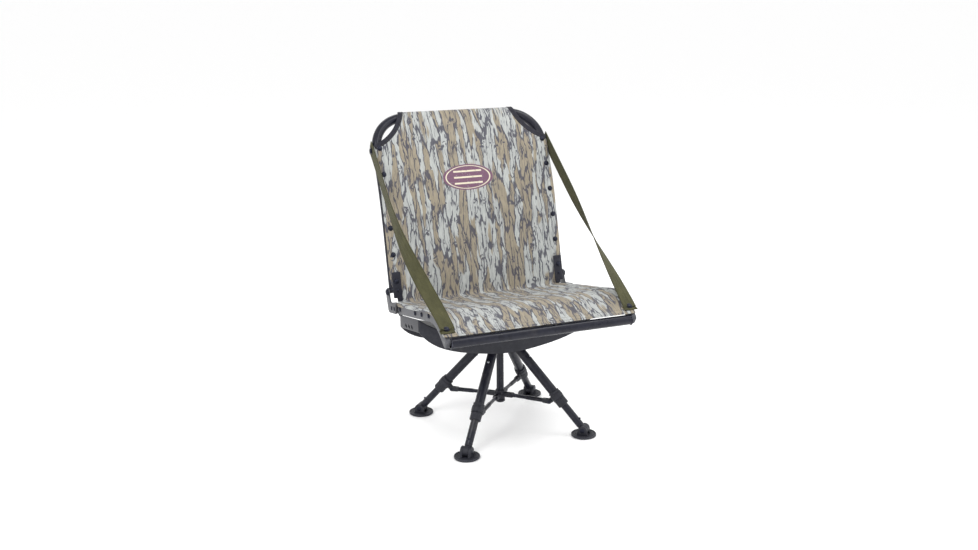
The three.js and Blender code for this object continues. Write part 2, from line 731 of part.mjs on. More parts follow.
// Webbing from the back's side to the seat's front corner, turning a quarter on its way down
function makeStrap() {
  const top = onBack(STRAP_TOP.x, STRAP_TOP.s, 0);
  const foot = new THREE.Vector3(STRAP_FOOT.x, STRAP_FOOT.y, STRAP_FOOT.z);
  const run = foot.clone().sub(top).normalize();
  const footRun = new THREE.Vector3(0, -FOOT_NORMAL.z, FOOT_NORMAL.y).normalize();
  const line = new THREE.CatmullRomCurve3(
    [
      top.clone().addScaledVector(run, -STRAP_TOP.over),
      top.clone().addScaledVector(run, STRAP_TOP.over),
      top.clone().lerp(foot, 0.5).addScaledVector(FOOT_NORMAL, 5),
      foot.clone().addScaledVector(footRun, -STRAP_FOOT.over - 8).addScaledVector(FOOT_NORMAL, 8),
      foot,
      foot.clone().addScaledVector(footRun, STRAP_FOOT.over),
    ],
    false,
    "centripetal",
  );
  const band = new THREE.BoxGeometry(STRAP.width, STRAP.thickness, 1, 1, 1, STRAP.segments);
  const position = band.attributes.position;
  const sideways = new THREE.Vector3(1, 0, 0);
  for (let i = 0; i < position.count; i += 1) {
    const t = position.getZ(i) + 0.5;
    const along = line.getTangentAt(t);
    const upright = new THREE.Vector3().crossVectors(sideways, along).normalize();
    const flat = new THREE.Vector3().crossVectors(along, upright).normalize();
    const turn = (Math.PI / 2) * THREE.MathUtils.smoothstep(t, 0.06, 0.9);
    const width = upright.clone().multiplyScalar(Math.cos(turn)).addScaledVector(flat, Math.sin(turn));
    const thick = new THREE.Vector3().crossVectors(along, width);
    const point = line.getPointAt(t);
    point.addScaledVector(width, position.getX(i)).addScaledVector(thick, position.getY(i));
    position.setXYZ(i, point.x, point.y, point.z);
  }
  return cut(band, makeStrapTopBolt(0.4), strapFootBolt(0.4));
}

function makeBack() {
  const back = new THREE.Group();
  back.add(
    piece("back_frame", makeBackFrame(), COATED()),
    piece("back_sling", makeBackSling(), BARK_CLOTH()),
  );
  for (const [word, side] of [
    ["left", 1],
    ["right", -1],
  ]) {
    back.add(
      piece(`hinge_plate_${word}`, mirrored(side, makeHingePlate()), BLACK_PLASTIC()),
      piece(`strap_${word}`, mirrored(side, makeStrap()), OLIVE_WEBBING()),
      piece(`strap_top_bolt_${word}`, mirrored(side, makeStrapTopBolt(0)), DARK_STEEL()),
    );
  }
  return back;
}

// ---------------------------------------------------------------- chair

const chair = new THREE.Group();
chair.position.y = AXIS_Y;
chair.add(makeBase(), makeSeat(), makeBack());

export default chair;
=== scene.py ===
import json
from math import atan2, cos, degrees, pi, radians, sin, sqrt

import bmesh
import bpy
from mathutils import Matrix, Vector, noise


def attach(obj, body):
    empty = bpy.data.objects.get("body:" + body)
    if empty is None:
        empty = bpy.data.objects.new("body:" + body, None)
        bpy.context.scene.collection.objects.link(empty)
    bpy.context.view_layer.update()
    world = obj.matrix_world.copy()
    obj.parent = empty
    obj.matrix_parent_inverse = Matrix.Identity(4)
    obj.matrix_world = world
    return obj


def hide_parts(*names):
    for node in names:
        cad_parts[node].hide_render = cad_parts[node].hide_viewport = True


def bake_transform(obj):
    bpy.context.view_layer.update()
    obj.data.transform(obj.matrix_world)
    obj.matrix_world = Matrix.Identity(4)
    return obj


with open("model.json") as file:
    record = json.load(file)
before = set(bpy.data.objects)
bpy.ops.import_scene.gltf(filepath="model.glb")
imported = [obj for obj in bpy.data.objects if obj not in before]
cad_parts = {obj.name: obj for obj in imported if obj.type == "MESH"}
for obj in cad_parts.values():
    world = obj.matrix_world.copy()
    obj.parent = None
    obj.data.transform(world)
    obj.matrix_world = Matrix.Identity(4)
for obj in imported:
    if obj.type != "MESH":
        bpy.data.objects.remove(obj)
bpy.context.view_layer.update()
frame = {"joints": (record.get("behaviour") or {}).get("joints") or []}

# ---------------------------------------------------------------- frames of reference

JOINTS = {joint["name"]: joint for joint in frame["joints"]}
MM = Matrix.Scale(0.001, 4)
SWIVEL = Vector(JOINTS["seat_swivel"]["pos_m"])
CHAIR = Matrix.Translation((SWIVEL.x, SWIVEL.y, 0)) @ MM
LEGS = (1, 2, 3, 4)
SIDES = (("left", 1), ("right", -1))


def leg_frame(number):
    pivot = JOINTS[f"leg_{number}_fold"]
    down = Vector(JOINTS[f"foot_{number}_extend"]["axis"])
    across = Vector(pivot["axis"])
    place = Matrix((across.cross(down), across, down)).transposed().to_4x4()
    place.translation = Vector(pivot["pos_m"])
    return place @ MM


def leg_bearing(number):
    """The compass angle of a leg's plane round the swivel axis."""
    pivot = JOINTS[f"leg_{number}_fold"]["pos_m"]
    return atan2(pivot[1] - SWIVEL.y, pivot[0] - SWIVEL.x)


def leg_plane(number):
    """x out from the swivel axis in the leg's plane, z up from the ground."""
    return CHAIR @ Matrix.Rotation(leg_bearing(number), 4, "Z")


BASE = leg_plane(1)
MIRROR = Matrix.Diagonal((-1, 1, 1, 1))


def on_side(side):
    """Pieces are made for the sitter's left, and mirrored to the right."""
    return CHAIR if side > 0 else CHAIR @ MIRROR


# ---------------------------------------------------------------- sizes, in millimetres

TUBE = 12.7
WALL = 1.5
LEG_ANGLE = radians(41.9)
LEG_PIVOT = Vector((45, 0, 233.2))
EAR_PIN = Vector((26.7, 0, 175.1))
SLIDER_PIN = Vector((35, 0, 88.5))
BUTTON_ALONG = 260
KNUCKLE_ALONG = 290
KNUCKLE_RADIUS = 13
KNUCKLE_Z = LEG_PIVOT.z - cos(LEG_ANGLE) * KNUCKLE_ALONG

RAIL_OUTER, RAIL_WIDTH, RAIL_HEIGHT = 253.5, 12, 28
RAIL_INNER = RAIL_OUTER - RAIL_WIDTH
RAIL_LINE = [
    (142, 324), (40, 344.4), (-70, 366.4), (-130, 379), (-177, 388), (-222, 384.5), (-257, 368), (-296, 342),
]
RAIL_BOLTS = (73, -57, -110, -166)
RAIL_FRONT, RAIL_NOSE = -283, 13
FRONT_TUBE = Vector((0, -285, 351))
REAR_TUBE = Vector((0, 122, 317))
REAR_RADIUS = 11
HINGE = Vector((0, 158.5, 364))

BACK_HALF = 243.5
BACK_LEAN = radians(13.8)
BACK_STRAIGHT = 170
BACK_BEND = 0.0011
BACK_LENGTH = 476
BACK_CORNER = 90

# The sling's hollow top corners: the circle that its bound edge follows
CUT_X, CUT_S, CUT_RADIUS = 296, 521, 132
BINDING = 13
CLOTH = 1.3


# ---------------------------------------------------------------- lines and outlines

def rounded(points, radius, closed=False, steps=4):
    """The line through some points with each corner rounded off."""
    points = [Vector(point) for point in points]
    line = []
    for i, point in enumerate(points):
        if not closed and i in (0, len(points) - 1):
            line.append(point)
            continue
        before, after = points[i - 1], points[(i + 1) % len(points)]
        reach = min(radius, (before - point).length * 0.48, (after - point).length * 0.48)
        start = point + (before - point).normalized() * reach
        end = point + (after - point).normalized() * reach
        for k in range(steps + 1):
            t = k / steps
            line.append(start.lerp(point, t).lerp(point.lerp(end, t), t))
    return line


def box_outline(left, right, low, high, radius, steps=4):
    """A rectangle with rounded corners."""
    corners = [(left, low), (right, low), (right, high), (left, high)]
    return rounded(corners, radius, closed=True, steps=steps)


def arc(centre, radius, start, end, steps=12):
    """Points of a flat arc, from one angle to another in degrees."""
    turns = [radians(start + (end - start) * k / steps) for k in range(steps + 1)]
    return [Vector((centre[0] + radius * cos(a), centre[1] + radius * sin(a))) for a in turns]


def smooth(points, steps=12):
    """A Catmull-Rom line through some points."""
    points = [Vector(point) for point in points]
    last = len(points) - 1
    line = []
    for i in range(last):
        a, b, c, d = (points[min(max(i + k, 0), last)] for k in (-1, 0, 1, 2))
        for k in range(steps):
            t = k / steps
            square, cube = 2 * a - 5 * b + 4 * c - d, 3 * b - a - 3 * c + d
            line.append(0.5 * (2 * b + (c - a) * t + square * t ** 2 + cube * t ** 3))
    return [*line, points[-1]]


def lengths(line):
    """How far along a line each of its points lies."""
    total = [0.0]
    for a, b in zip(line, line[1:]):
        total.append(total[-1] + (b - a).length)
    return total


def at_length(line, total, wanted):
    """The point at a distance along a line, and the line's direction there."""
    i = 0
    while i < len(line) - 2 and total[i + 1] < wanted:
        i += 1
    span = total[i + 1] - total[i]
    return line[i].lerp(line[i + 1], (wanted - total[i]) / span), (line[i + 1] - line[i]) / span


def evenly(line, count):
    """The same line with its points evenly spaced."""
    total = lengths(line)
    return [at_length(line, total, total[-1] * k / count)[0] for k in range(count + 1)]


def smoothstep(x, low, high):
    """0 below low, 1 above high and smooth between."""
    t = min(max((x - low) / (high - low), 0), 1)
    return t * t * (3 - 2 * t)


# ---------------------------------------------------------------- parts: points and faces

def lathe(profile, sides=48, ripple=None):
    """A body turned about z from (radius, z) pairs. ripple changes a radius by angle and height."""
    points, rings = [], []
    for radius, z in profile:
        if radius < 1e-6:
            rings.append([len(points)])
            points.append(Vector((0, 0, z)))
            continue
        rings.append(range(len(points), len(points) + sides))
        for k in range(sides):
            a = 2 * pi * k / sides
            r = radius + (ripple(a, z, radius) if ripple else 0)
            points.append(Vector((r * cos(a), r * sin(a), z)))
    faces = []
    for low, high in zip(rings, rings[1:]):
        for k in range(sides):
            j = (k + 1) % sides
            corners = [low[k % len(low)], low[j % len(low)], high[j % len(high)], high[k % len(high)]]
            faces.append(list(dict.fromkeys(corners)))
    return points, faces


def pipe(inner, outer, start, end, edge=0.5, sides=48):
    """A tube about z with rounded rims."""
    outline = rounded([(inner, start), (outer, start), (outer, end), (inner, end)], edge, closed=True)
    return lathe([*outline, outline[0]], sides)


def rod(radius, start, end, edge=0.6, sides=32):
    """A solid bar about z with rounded rims."""
    return lathe(rounded([(0, start), (radius, start), (radius, end), (0, end)], edge), sides)


def skin(rings):
    """A closed body through some rings of equally many points, with a flat face on both ends."""
    count = len(rings[0])
    points = [point for ring in rings for point in ring]
    faces = [list(range(count))[::-1], [(len(rings) - 1) * count + k for k in range(count)]]
    for i in range(len(rings) - 1):
        for k in range(count):
            j = (k + 1) % count
            faces.append([i * count + k, i * count + j, (i + 1) * count + j, (i + 1) * count + k])
    return points, faces


def sweep(line, section, across):
    """A closed section of (across, out) points carried along a line."""
    line = [Vector(point) for point in line]
    rings = []
    for i, point in enumerate(line):
        ahead = (line[min(i + 1, len(line) - 1)] - line[max(i - 1, 0)]).normalized()
        across = (across - ahead * across.dot(ahead)).normalized()
        out = ahead.cross(across)
        rings.append([point + across * a + out * b for a, b in section])
    return skin(rings)


def inset(outline, distance):
    """A closed outline drawn in by a distance all round."""
    count = len(outline)
    area = sum(outline[i - 1].x * outline[i].y - outline[i].x * outline[i - 1].y for i in range(count))
    turn = 1 if area > 0 else -1
    moved = []
    for i, point in enumerate(outline):
        before = (point - outline[i - 1]).normalized()
        after = (outline[(i + 1) % count] - point).normalized()
        normal = Vector((-(before.y + after.y), before.x + after.x)).normalized() * turn
        moved.append(point + normal * distance / max(before.dot(after) * 0.5 + 0.5, 0.3) ** 0.5)
    return moved


def plate(outline, depth, edge=0.5, steps=3):
    """A flat plate of an outline of (x, y) points, from z 0 to its depth, with rounded edges."""
    outline = [Vector(point) for point in outline]
    layers = []
    for k in range(steps + 1):
        a = pi / 2 * k / steps
        layers.append((edge * (1 - sin(a)), edge * (1 - cos(a))))
    layers += [(distance, depth - z) for distance, z in reversed(layers)]
    return skin([[Vector((*p, z)) for p in inset(outline, distance)] for distance, z in layers])


def block(size, edge=0.8):
    """A box about the origin, its edges rounded."""
    x, y, z = Vector(size) / 2
    outline = box_outline(-x, x, -y, y, edge, 3)
    points, faces = plate(outline, 2 * z, edge)
    return [point - Vector((0, 0, z)) for point in points], faces


def dome(shank, length, head, height, washer=0):
    """A dome-headed bolt along z: its head's seat is at 0 and its shank runs down to -length."""
    profile = [(0, -length), (shank * 0.8, -length), (shank, -length + 1), (shank, 0)]
    if washer:
        profile += rounded([(shank, 0), (washer, 0), (washer, 1.1), (head, 1.1)], 0.4)[1:]
    base = 1.1 if washer else 0
    profile += [(head, base), (head, base + height * 0.22)]
    for k in range(1, 9):
        a = pi / 2 * k / 8
        profile.append((head * cos(a) ** 0.8 if k < 8 else 0, base + height * (0.22 + 0.78 * sin(a))))
    return lathe(profile, 32)


def hexagon(across, height):
    """A nut or a bolt's head: its width over the flats and its height."""
    corner = across / 2 / cos(pi / 6)
    outline = [(corner * cos(pi / 3 * k), corner * sin(pi / 3 * k)) for k in range(6)]
    return plate(rounded(outline, 0.5, closed=True, steps=2), height, 0.6)


def shift(x, y, z):
    return Matrix.Translation((x, y, z))


def toward(direction, at=(0, 0, 0)):
    """Turns z to a direction and puts the origin at a point."""
    turn = Vector(direction).normalized().to_track_quat("Z", "Y").to_matrix().to_4x4()
    return Matrix.Translation(at) @ turn


STAND_X = Matrix(((0, 0, 1, 0), (1, 0, 0, 0), (0, 1, 0, 0), (0, 0, 0, 1)))  # (x, y, z) to (y, z, x)
STAND_Y = Matrix(((1, 0, 0, 0), (0, 0, 1, 0), (0, 1, 0, 0), (0, 0, 0, 1)))  # (x, y, z) to (x, z, y)
ALONG_Y = toward((0, 1, 0))
ALONG_X = toward((1, 0, 0))


class Shape:
    """A mesh in the making. Parts are added one by one, each with its own material."""

    def __init__(self):
        self.points, self.faces, self.places = [], [], []
        self.materials, self.finishes = [], []

    def add(self, part, material, place=None, coordinates=None):
        points, faces = part
        start = len(self.points)
        self.points += [place @ point if place else Vector(point) for point in points]
        self.places += coordinates or [Vector((0, 0, 0))] * len(points)
        if material not in self.materials:
            self.materials.append(material)
        self.faces += [[start + k for k in face] for face in faces]
        self.finishes += [self.materials.index(material)] * len(faces)
        return self

    def make(self, name, place, sharp=38, closed=True):
        mesh = bpy.data.meshes.new(name)
        mesh.from_pydata(self.points, [], self.faces)
        mesh.polygons.foreach_set("material_index", self.finishes)
        layer = mesh.attributes.new("cloth", "FLOAT_VECTOR", "POINT")
        layer.data.foreach_set("vector", [x for p in self.places for x in p])
        mesh.transform(place)
        tidy = bmesh.new()
        tidy.from_mesh(mesh)
        bmesh.ops.remove_doubles(tidy, verts=tidy.verts, dist=2e-6)
        bmesh.ops.dissolve_degenerate(tidy, edges=tidy.edges, dist=1e-7)
        if closed:
            bmesh.ops.recalc_face_normals(tidy, faces=tidy.faces)
        tidy.to_mesh(mesh)
        tidy.free()
        for material in self.materials:
            mesh.materials.append(material)
        mesh.polygons.foreach_set("use_smooth", [True] * len(mesh.polygons))
        mesh.set_sharp_from_angle(angle=radians(sharp))
        made = bpy.data.objects.new(name, mesh)
        bpy.context.scene.collection.objects.link(made)
        return made


def settle(made, body, slot, *nodes):
    """The piece rides on a body and stands for some CAD nodes. Its slot is not used."""
    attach(made, body)
    if nodes:
        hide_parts(*nodes)
    return made


# ---------------------------------------------------------------- camera, light and floor

def make_camera():
    data = bpy.data.cameras.new("camera")
    data.lens = 41.43
    data.sensor_width = 36
    data.shift_x = -0.0405
    data.shift_y = 0.0164
    camera = bpy.data.objects.new("camera", data)
    camera.location = (-1.0765, -2.6857, 1.1891)
    camera.rotation_euler = (radians(74.28), 0, radians(-23.49))
    bpy.context.scene.collection.objects.link(camera)
    bpy.context.scene.camera = camera


def make_lamp(name, at, target, size, power):
    data = bpy.data.lights.new(name, "AREA")
    data.shape = "RECTANGLE"
    data.size, data.size_y = size
    data.energy = power
    lamp = bpy.data.objects.new(name, data)
    lamp.matrix_world = toward(Vector(at) - Vector(target), at)
    bpy.context.scene.collection.objects.link(lamp)


def make_studio():
    world = bpy.data.worlds.new("studio")
    world.use_nodes = True
    world.node_tree.nodes["Background"].inputs["Color"].default_value = (1, 1, 1, 1)
    world.node_tree.nodes["Background"].inputs["Strength"].default_value = 1.0
    bpy.context.scene.world = world
    middle = (0, 0, 0.4)
    make_lamp("key", (-1.9, -1.7, 2.6), middle, (1.6, 1.6), 46)
    make_lamp("strip", (0.9, -0.75, 2.7), middle, (2.6, 0.4), 24)
    make_lamp("fill", (2.4, -1.6, 1.5), middle, (1.4, 2.0), 16)
    make_lamp("rim", (0.6, 2.6, 2.2), middle, (2.4, 1.2), 26)
    bpy.context.scene.view_settings.view_transform = "Standard"

    mesh = bpy.data.meshes.new("floor")
    mesh.from_pydata([(-60, -60, 0), (60, -60, 0), (60, 60, 0), (-60, 60, 0)], [], [(0, 1, 2, 3)])
    floor = bpy.data.objects.new("floor", mesh)
    bpy.context.scene.collection.objects.link(floor)
    pale = bpy.data.materials.new("pale_floor")
    pale.use_nodes = True
    pale.node_tree.nodes["Principled BSDF"].inputs["Base Color"].default_value = (0.99, 0.99, 0.99, 1)
    pale.node_tree.nodes["Principled BSDF"].inputs["Roughness"].default_value = 0.9
    mesh.materials.append(pale)


# ---------------------------------------------------------------- materials

def tone(red, green, blue):
    """A linear colour from its usual 0 to 255 values."""
    share = [c / 255 for c in (red, green, blue)]
    return (*[c / 12.92 if c <= 0.04045 else ((c + 0.055) / 1.055) ** 2.4 for c in share], 1)


class Look:
    """Builds one material's nodes in short calls."""

    def __init__(self, name):
        self.material = bpy.data.materials.new(name)
        self.material.use_nodes = True
        self.nodes = self.material.node_tree.nodes
        self.shader = self.nodes["Principled BSDF"]

    def put(self, socket, value):
        if isinstance(value, bpy.types.NodeSocket):
            self.material.node_tree.links.new(value, socket)
        else:
            socket.default_value = value

    def node(self, kind, result=0, **inputs):
        made = self.nodes.new(kind)
        for name, value in inputs.items():
            self.put(made.inputs[name.replace("_", " ")], value)
        return made.outputs[result]

    def math(self, operation, *values):
        made = self.nodes.new("ShaderNodeMath")
        made.operation = operation
        for socket, value in zip(made.inputs, values):
            self.put(socket, value)
        return made.outputs[0]

    def times(self, a, b):
        return self.math("MULTIPLY", a, b)

    def plus(self, a, b):
        return self.math("ADD", a, b)

    def band(self, value, low, high):
        """0 below low, 1 above high and smooth between, or the other way round if low is above high."""
        made = self.nodes.new("ShaderNodeMapRange")
        made.interpolation_type = "SMOOTHSTEP"
        rising = low < high
        made.inputs["From Min"].default_value = min(low, high)
        made.inputs["From Max"].default_value = max(low, high)
        made.inputs["To Min"].default_value = 0 if rising else 1
        made.inputs["To Max"].default_value = 1 if rising else 0
        self.put(made.inputs["Value"], value)
        return made.outputs[0]

    def scaled(self, vector, x, y, z):
        made = self.nodes.new("ShaderNodeVectorMath")
        made.operation = "MULTIPLY"
        self.put(made.inputs[0], vector)
        made.inputs[1].default_value = (x, y, z)
        return made.outputs[0]

    def noise(self, vector, scale, detail=2.0, roughness=0.5):
        return self.node("ShaderNodeTexNoise", Vector=vector, Scale=scale, Detail=detail, Roughness=roughness)

    def cells(self, vector, feature, output, randomness=1.0):
        made = self.nodes.new("ShaderNodeTexVoronoi")
        made.feature = feature
        made.voronoi_dimensions = "2D"
        self.put(made.inputs["Vector"], vector)
        made.inputs["Scale"].default_value = 1
        made.inputs["Randomness"].default_value = randomness
        return made.outputs[output]

    def ramp(self, value, stops, interpolation="LINEAR"):
        made = self.nodes.new("ShaderNodeValToRGB")
        made.color_ramp.interpolation = interpolation
        elements = made.color_ramp.elements
        while len(elements) < len(stops):
            elements.new(0.5)
        for element, (place, color) in zip(elements, stops):
            element.position = place
            element.color = color
        self.put(made.inputs[0], value)
        return made.outputs[0]

    def mix(self, share, a, b, kind="MIX"):
        made = self.nodes.new("ShaderNodeMix")
        made.data_type = "RGBA"
        made.blend_type = kind
        self.put(made.inputs["Factor"], share)
        self.put(made.inputs[6], a)
        self.put(made.inputs[7], b)
        return made.outputs[2]

    def object_place(self):
        return self.nodes.new("ShaderNodeTexCoord").outputs["Object"]

    def cloth_place(self):
        made = self.nodes.new("ShaderNodeAttribute")
        made.attribute_name = "cloth"
        return made.outputs["Vector"]

    def finish(self, color, roughness, bump=None, bump_distance=0.0002, bump_strength=0.5, **constants):
        self.put(self.shader.inputs["Base Color"], color)
        self.put(self.shader.inputs["Roughness"], roughness)
        for name, value in constants.items():
            self.shader.inputs[name.replace("_", " ")].default_value = value
        if bump is not None:
            normal = self.node("ShaderNodeBump", Height=bump, Distance=bump_distance, Strength=bump_strength)
            self.put(self.shader.inputs["Normal"], normal)
        return self.material


def shade_of(color, share, added=0):
    """A darker or a lighter shade of a colour."""
    return (*[min(c * share + added, 1) for c in color[:3]], 1)


def coated_metal(name, color, worn, roughness=0.42, wear=0.6):
    """Powder coat: a fine orange peel, soft mottling and rubbed edges."""
    look = Look(name)
    place = look.object_place()
    mottle = look.noise(place, 38, 4, 0.6)
    peel = look.noise(place, 1150, 2, 0.5)
    grime = look.noise(place, 11, 5, 0.65)
    shade = look.ramp(mottle, [(0.3, shade_of(color, 0.82)), (0.7, shade_of(color, 1.2))])
    edge = look.band(look.nodes.new("ShaderNodeNewGeometry").outputs["Pointiness"], 0.515, 0.56)
    rubbed = look.times(edge, look.band(look.noise(place, 90, 5, 0.7), 0.45, 0.62))
    scratch = look.noise(look.scaled(place, 1, 1, 0.12), 420, 3, 0.6)
    marks = look.times(look.band(scratch, 0.68, 0.74), look.band(grime, 0.48, 0.62))
    worn_share = look.times(look.math("MAXIMUM", rubbed, look.times(marks, 0.45)), wear)
    dusty = look.mix(look.times(look.band(grime, 0.52, 0.8), 0.25), shade, tone(112, 108, 100))
    rough = look.plus(roughness - 0.08, look.times(look.plus(mottle, grime), 0.09))
    return look.finish(look.mix(worn_share, dusty, worn), rough, peel, 0.0001, 0.45,
                       Specular_IOR_Level=0.22, Coat_Weight=0.05, Coat_Roughness=0.12)


def moulded_plastic(name, color, roughness=0.5):
    """Moulded nylon: a fine spark-eroded grain with scuffs on its high places."""
    look = Look(name)
    place = look.object_place()
    grain = look.noise(place, 2600, 2, 0.6)
    mottle = look.noise(place, 60, 3, 0.6)
    edge = look.band(look.nodes.new("ShaderNodeNewGeometry").outputs["Pointiness"], 0.52, 0.6)
    scuffs = look.times(edge, look.band(look.noise(place, 140, 4, 0.7), 0.4, 0.65))
    shade = look.ramp(mottle, [(0.3, shade_of(color, 0.8)), (0.75, shade_of(color, 1.3))])
    pale = shade_of(color, 2.6, 0.02)
    rough = look.plus(roughness - 0.06, look.times(mottle, 0.16))
    return look.finish(look.mix(look.times(scuffs, 0.35), shade, pale), rough, grain, 0.00008, 0.6,
                       Specular_IOR_Level=0.35)


def bare_steel(name, color, roughness=0.32):
    """Zinc or black oxide on steel, with turning marks and small stains."""
    look = Look(name)
    place = look.object_place()
    stain = look.noise(place, 160, 4, 0.6)
    brush = look.noise(look.scaled(place, 1, 1, 0.1), 1400, 2, 0.5)
    shade = look.ramp(stain, [(0.35, shade_of(color, 0.7)), (0.7, color)])
    rough = look.plus(roughness - 0.06, look.times(stain, 0.2))
    return look.finish(shade, rough, brush, 0.00004, 0.4, Metallic=0.85)


def weave_height(look, place, pitch):
    """A plain weave: threads across and along, each over and under the next."""
    parts = look.nodes.new("ShaderNodeSeparateXYZ")
    look.put(parts.inputs[0], place)
    waves = []
    for output in parts.outputs[:2]:
        waves.append(look.math("SINE", look.times(output, 2 * pi / pitch)))
    return look.times(waves[0], waves[1])


BARK = {
    "pale": tone(174, 177, 174),
    "mist": tone(154, 157, 156),
    "sand": tone(147, 137, 118),
    "bark": tone(127, 118, 101),
    "dusk": tone(88, 87, 94),
    "dark": tone(52, 52, 66),
}


def bark_cloth(name):
    """Coarse polyester with a tree-bark print: tall strips of pale and tan bark, each with a broken dark
    outline, finer cracks inside them, dashes and knots."""
    look = Look(name)
    place = look.cloth_place()
    parts = look.nodes.new("ShaderNodeSeparateXYZ")
    look.put(parts.inputs[0], place)
    across, along, face = parts.outputs

    def stretched(x, y, offset, sideways=across, upward=along):
        made = look.nodes.new("ShaderNodeCombineXYZ")
        look.put(made.inputs[0], look.plus(look.times(sideways, x), offset))
        look.put(made.inputs[1], look.plus(look.times(upward, y), offset))
        return made.outputs[0]

    def wobble(x, y, offset, amount):
        made = look.noise(stretched(x, y, offset), 1, 1)
        return look.times(look.math("SUBTRACT", made, 0.5), amount)

    sway = look.plus(wobble(9, 8, 3.3, 0.022), wobble(60, 34, 9.1, 0.009))
    moved = look.plus(across, look.plus(sway, wobble(240, 150, 5.7, 0.0026)))
    fray = look.plus(wobble(110, 8, 12.4, 0.06), wobble(380, 26, 2.8, 0.016))
    frayed = look.plus(along, fray)

    def strips(x, y, offset, feature, output):
        return look.cells(stretched(x, y, offset, moved, frayed), feature, output)

    def field(x, y, offset, detail=1):
        return look.noise(stretched(x, y, offset, moved), 1, detail)

    def outline(x, y, offset, half_width):
        edge = strips(x, y, offset, "DISTANCE_TO_EDGE", "Distance")
        return look.band(look.math("SUBTRACT", edge, half_width), 0.02, -0.02)

    streak = look.noise(stretched(330, 30, 2.1, moved), 1, 3, 0.6)
    patch = field(24, 16, 7.9)
    kind = look.nodes.new("ShaderNodeSeparateColor")
    look.put(kind.inputs[0], strips(72, 8.5, 0.4, "F1", "Color"))
    tan = look.mix(look.band(streak, 0.36, 0.66), BARK["bark"], BARK["sand"])
    light = look.mix(look.band(streak, 0.4, 0.62), BARK["mist"], BARK["pale"])
    share = look.times(look.plus(kind.outputs[0], field(40, 6, 0.9)), 0.6)
    ground = look.mix(look.band(share, 0.59, 0.62), tan, light)
    worn_line = look.times(look.band(streak, 0.54, 0.6), look.band(patch, 0.5, 0.58))
    ground = look.mix(look.times(worn_line, 0.3), ground, BARK["dusk"])

    heavy = look.plus(-0.01, look.times(field(70, 26, 1.7), 0.17))
    bark_edge = look.times(outline(72, 8.5, 0.4, heavy), look.band(field(52, 24, 6.6), 0.38, 0.46))
    fine = look.plus(-0.02, look.times(field(110, 40, 8.3), 0.16))
    crack = look.times(outline(104, 13, 5.2, fine), look.band(patch, 0.47, 0.55))
    knots = look.cells(stretched(19, 14, 3.7, moved), "F1", "Distance")
    knot = look.times(look.band(knots, 0.17, 0.1), look.band(field(190, 120, 8.8), 0.47, 0.54))
    dashes = look.cells(stretched(86, 26, 5.5, moved), "F1", "Distance")
    dash = look.times(look.band(dashes, 0.2, 0.14), look.band(field(30, 30, 17.3), 0.53, 0.57))

    dark = bark_edge
    for mark in (crack, knot, dash):
        dark = look.math("MAXIMUM", dark, mark)
    ink = look.mix(look.times(look.band(streak, 0.42, 0.62), 0.3), BARK["dark"], BARK["dusk"])
    printed = look.mix(look.times(dark, 0.94), ground, ink)
    color = oval_badge(look, across, along, face, printed)

    fibre = look.noise(place, 900, 3, 0.7)
    height = look.plus(weave_height(look, place, 0.0011), look.times(fibre, 1.2))
    faded = look.mix(look.times(fibre, 0.08), color, tone(188, 188, 184))
    return look.finish(faded, 0.88, height, 0.00022, 0.6, Sheen_Weight=0.08, Sheen_Roughness=0.5)


def oval_badge(look, across, along, face, ground):
    """A plain printed oval with a ring and three bars, on the front of the cloth only."""
    maroon, cream = tone(104, 68, 92), tone(214, 205, 182)
    x = look.math("DIVIDE", across, 0.074)
    y = look.math("DIVIDE", look.math("SUBTRACT", along, 0.292), 0.036)
    radius = look.math("SQRT", look.plus(look.math("POWER", x, 2.0), look.math("POWER", y, 2.0)))
    worn = look.band(look.noise(look.cloth_place(), 260, 3, 0.7), 0.3, 0.42)
    in_front = look.band(face, 0.0004, 0.0006)
    inside = look.times(look.band(radius, 1.0, 0.985), look.times(worn, in_front))
    ring = look.times(look.band(radius, 0.84, 0.85), look.band(radius, 0.9, 0.89))
    bars = look.band(look.math("ABSOLUTE", look.math("PINGPONG", y, 0.23)), 0.07, 0.06)
    bars = look.times(bars, look.band(look.math("ABSOLUTE", x), 0.56, 0.55))
    bars = look.times(bars, look.band(look.math("ABSOLUTE", y), 0.56, 0.54))
    printed = look.mix(look.math("MAXIMUM", ring, bars), maroon, cream)
    return look.mix(inside, ground, printed)


def webbing(name):
    """Olive polyester webbing: ribs along it, a herringbone across and a firm edge."""
    look = Look(name)
    place = look.cloth_place()
    parts = look.nodes.new("ShaderNodeSeparateXYZ")
    look.put(parts.inputs[0], place)
    across, along = parts.outputs[0], parts.outputs[1]
    chevron = look.math("PINGPONG", look.times(across, 1000), 4.5)
    slant = look.plus(look.times(along, 1000), chevron)
    twill = look.math("SINE", look.times(slant, 2 * pi / 1.6))
    ribs = look.math("SINE", look.times(across, 2 * pi / 0.0015))
    height = look.plus(twill, look.times(ribs, 0.5))
    mottle = look.noise(look.scaled(place, 60, 25, 1), 1, 4, 0.6)
    edge = look.band(look.math("ABSOLUTE", across), 0.0145, 0.0165)
    shade = look.ramp(mottle, [(0.3, tone(60, 59, 36)), (0.5, tone(70, 69, 43)), (0.72, tone(80, 78, 50))])
    # painted shade: the colour darkens in the twill's low places, where the bump sinks
    darker = look.mix(look.times(look.band(twill, -0.2, -0.9), 0.35), shade, tone(44, 43, 24))
    color = look.mix(look.times(edge, 0.5), darker, tone(50, 50, 28))
    return look.finish(color, 0.82, height, 0.00025, 0.6, Sheen_Weight=0.05, Sheen_Roughness=0.4,
                       Specular_IOR_Level=0.3)


def thread(name, color):
    look = Look(name)
    place = look.object_place()
    twist = look.noise(look.scaled(place, 1, 1, 3), 1500, 2, 0.5)
    shade = look.ramp(twist, [(0.3, shade_of(color, 0.7)), (0.7, color)])
    return look.finish(shade, 0.7, twist, 0.0001, 0.5, Sheen_Weight=0.2)


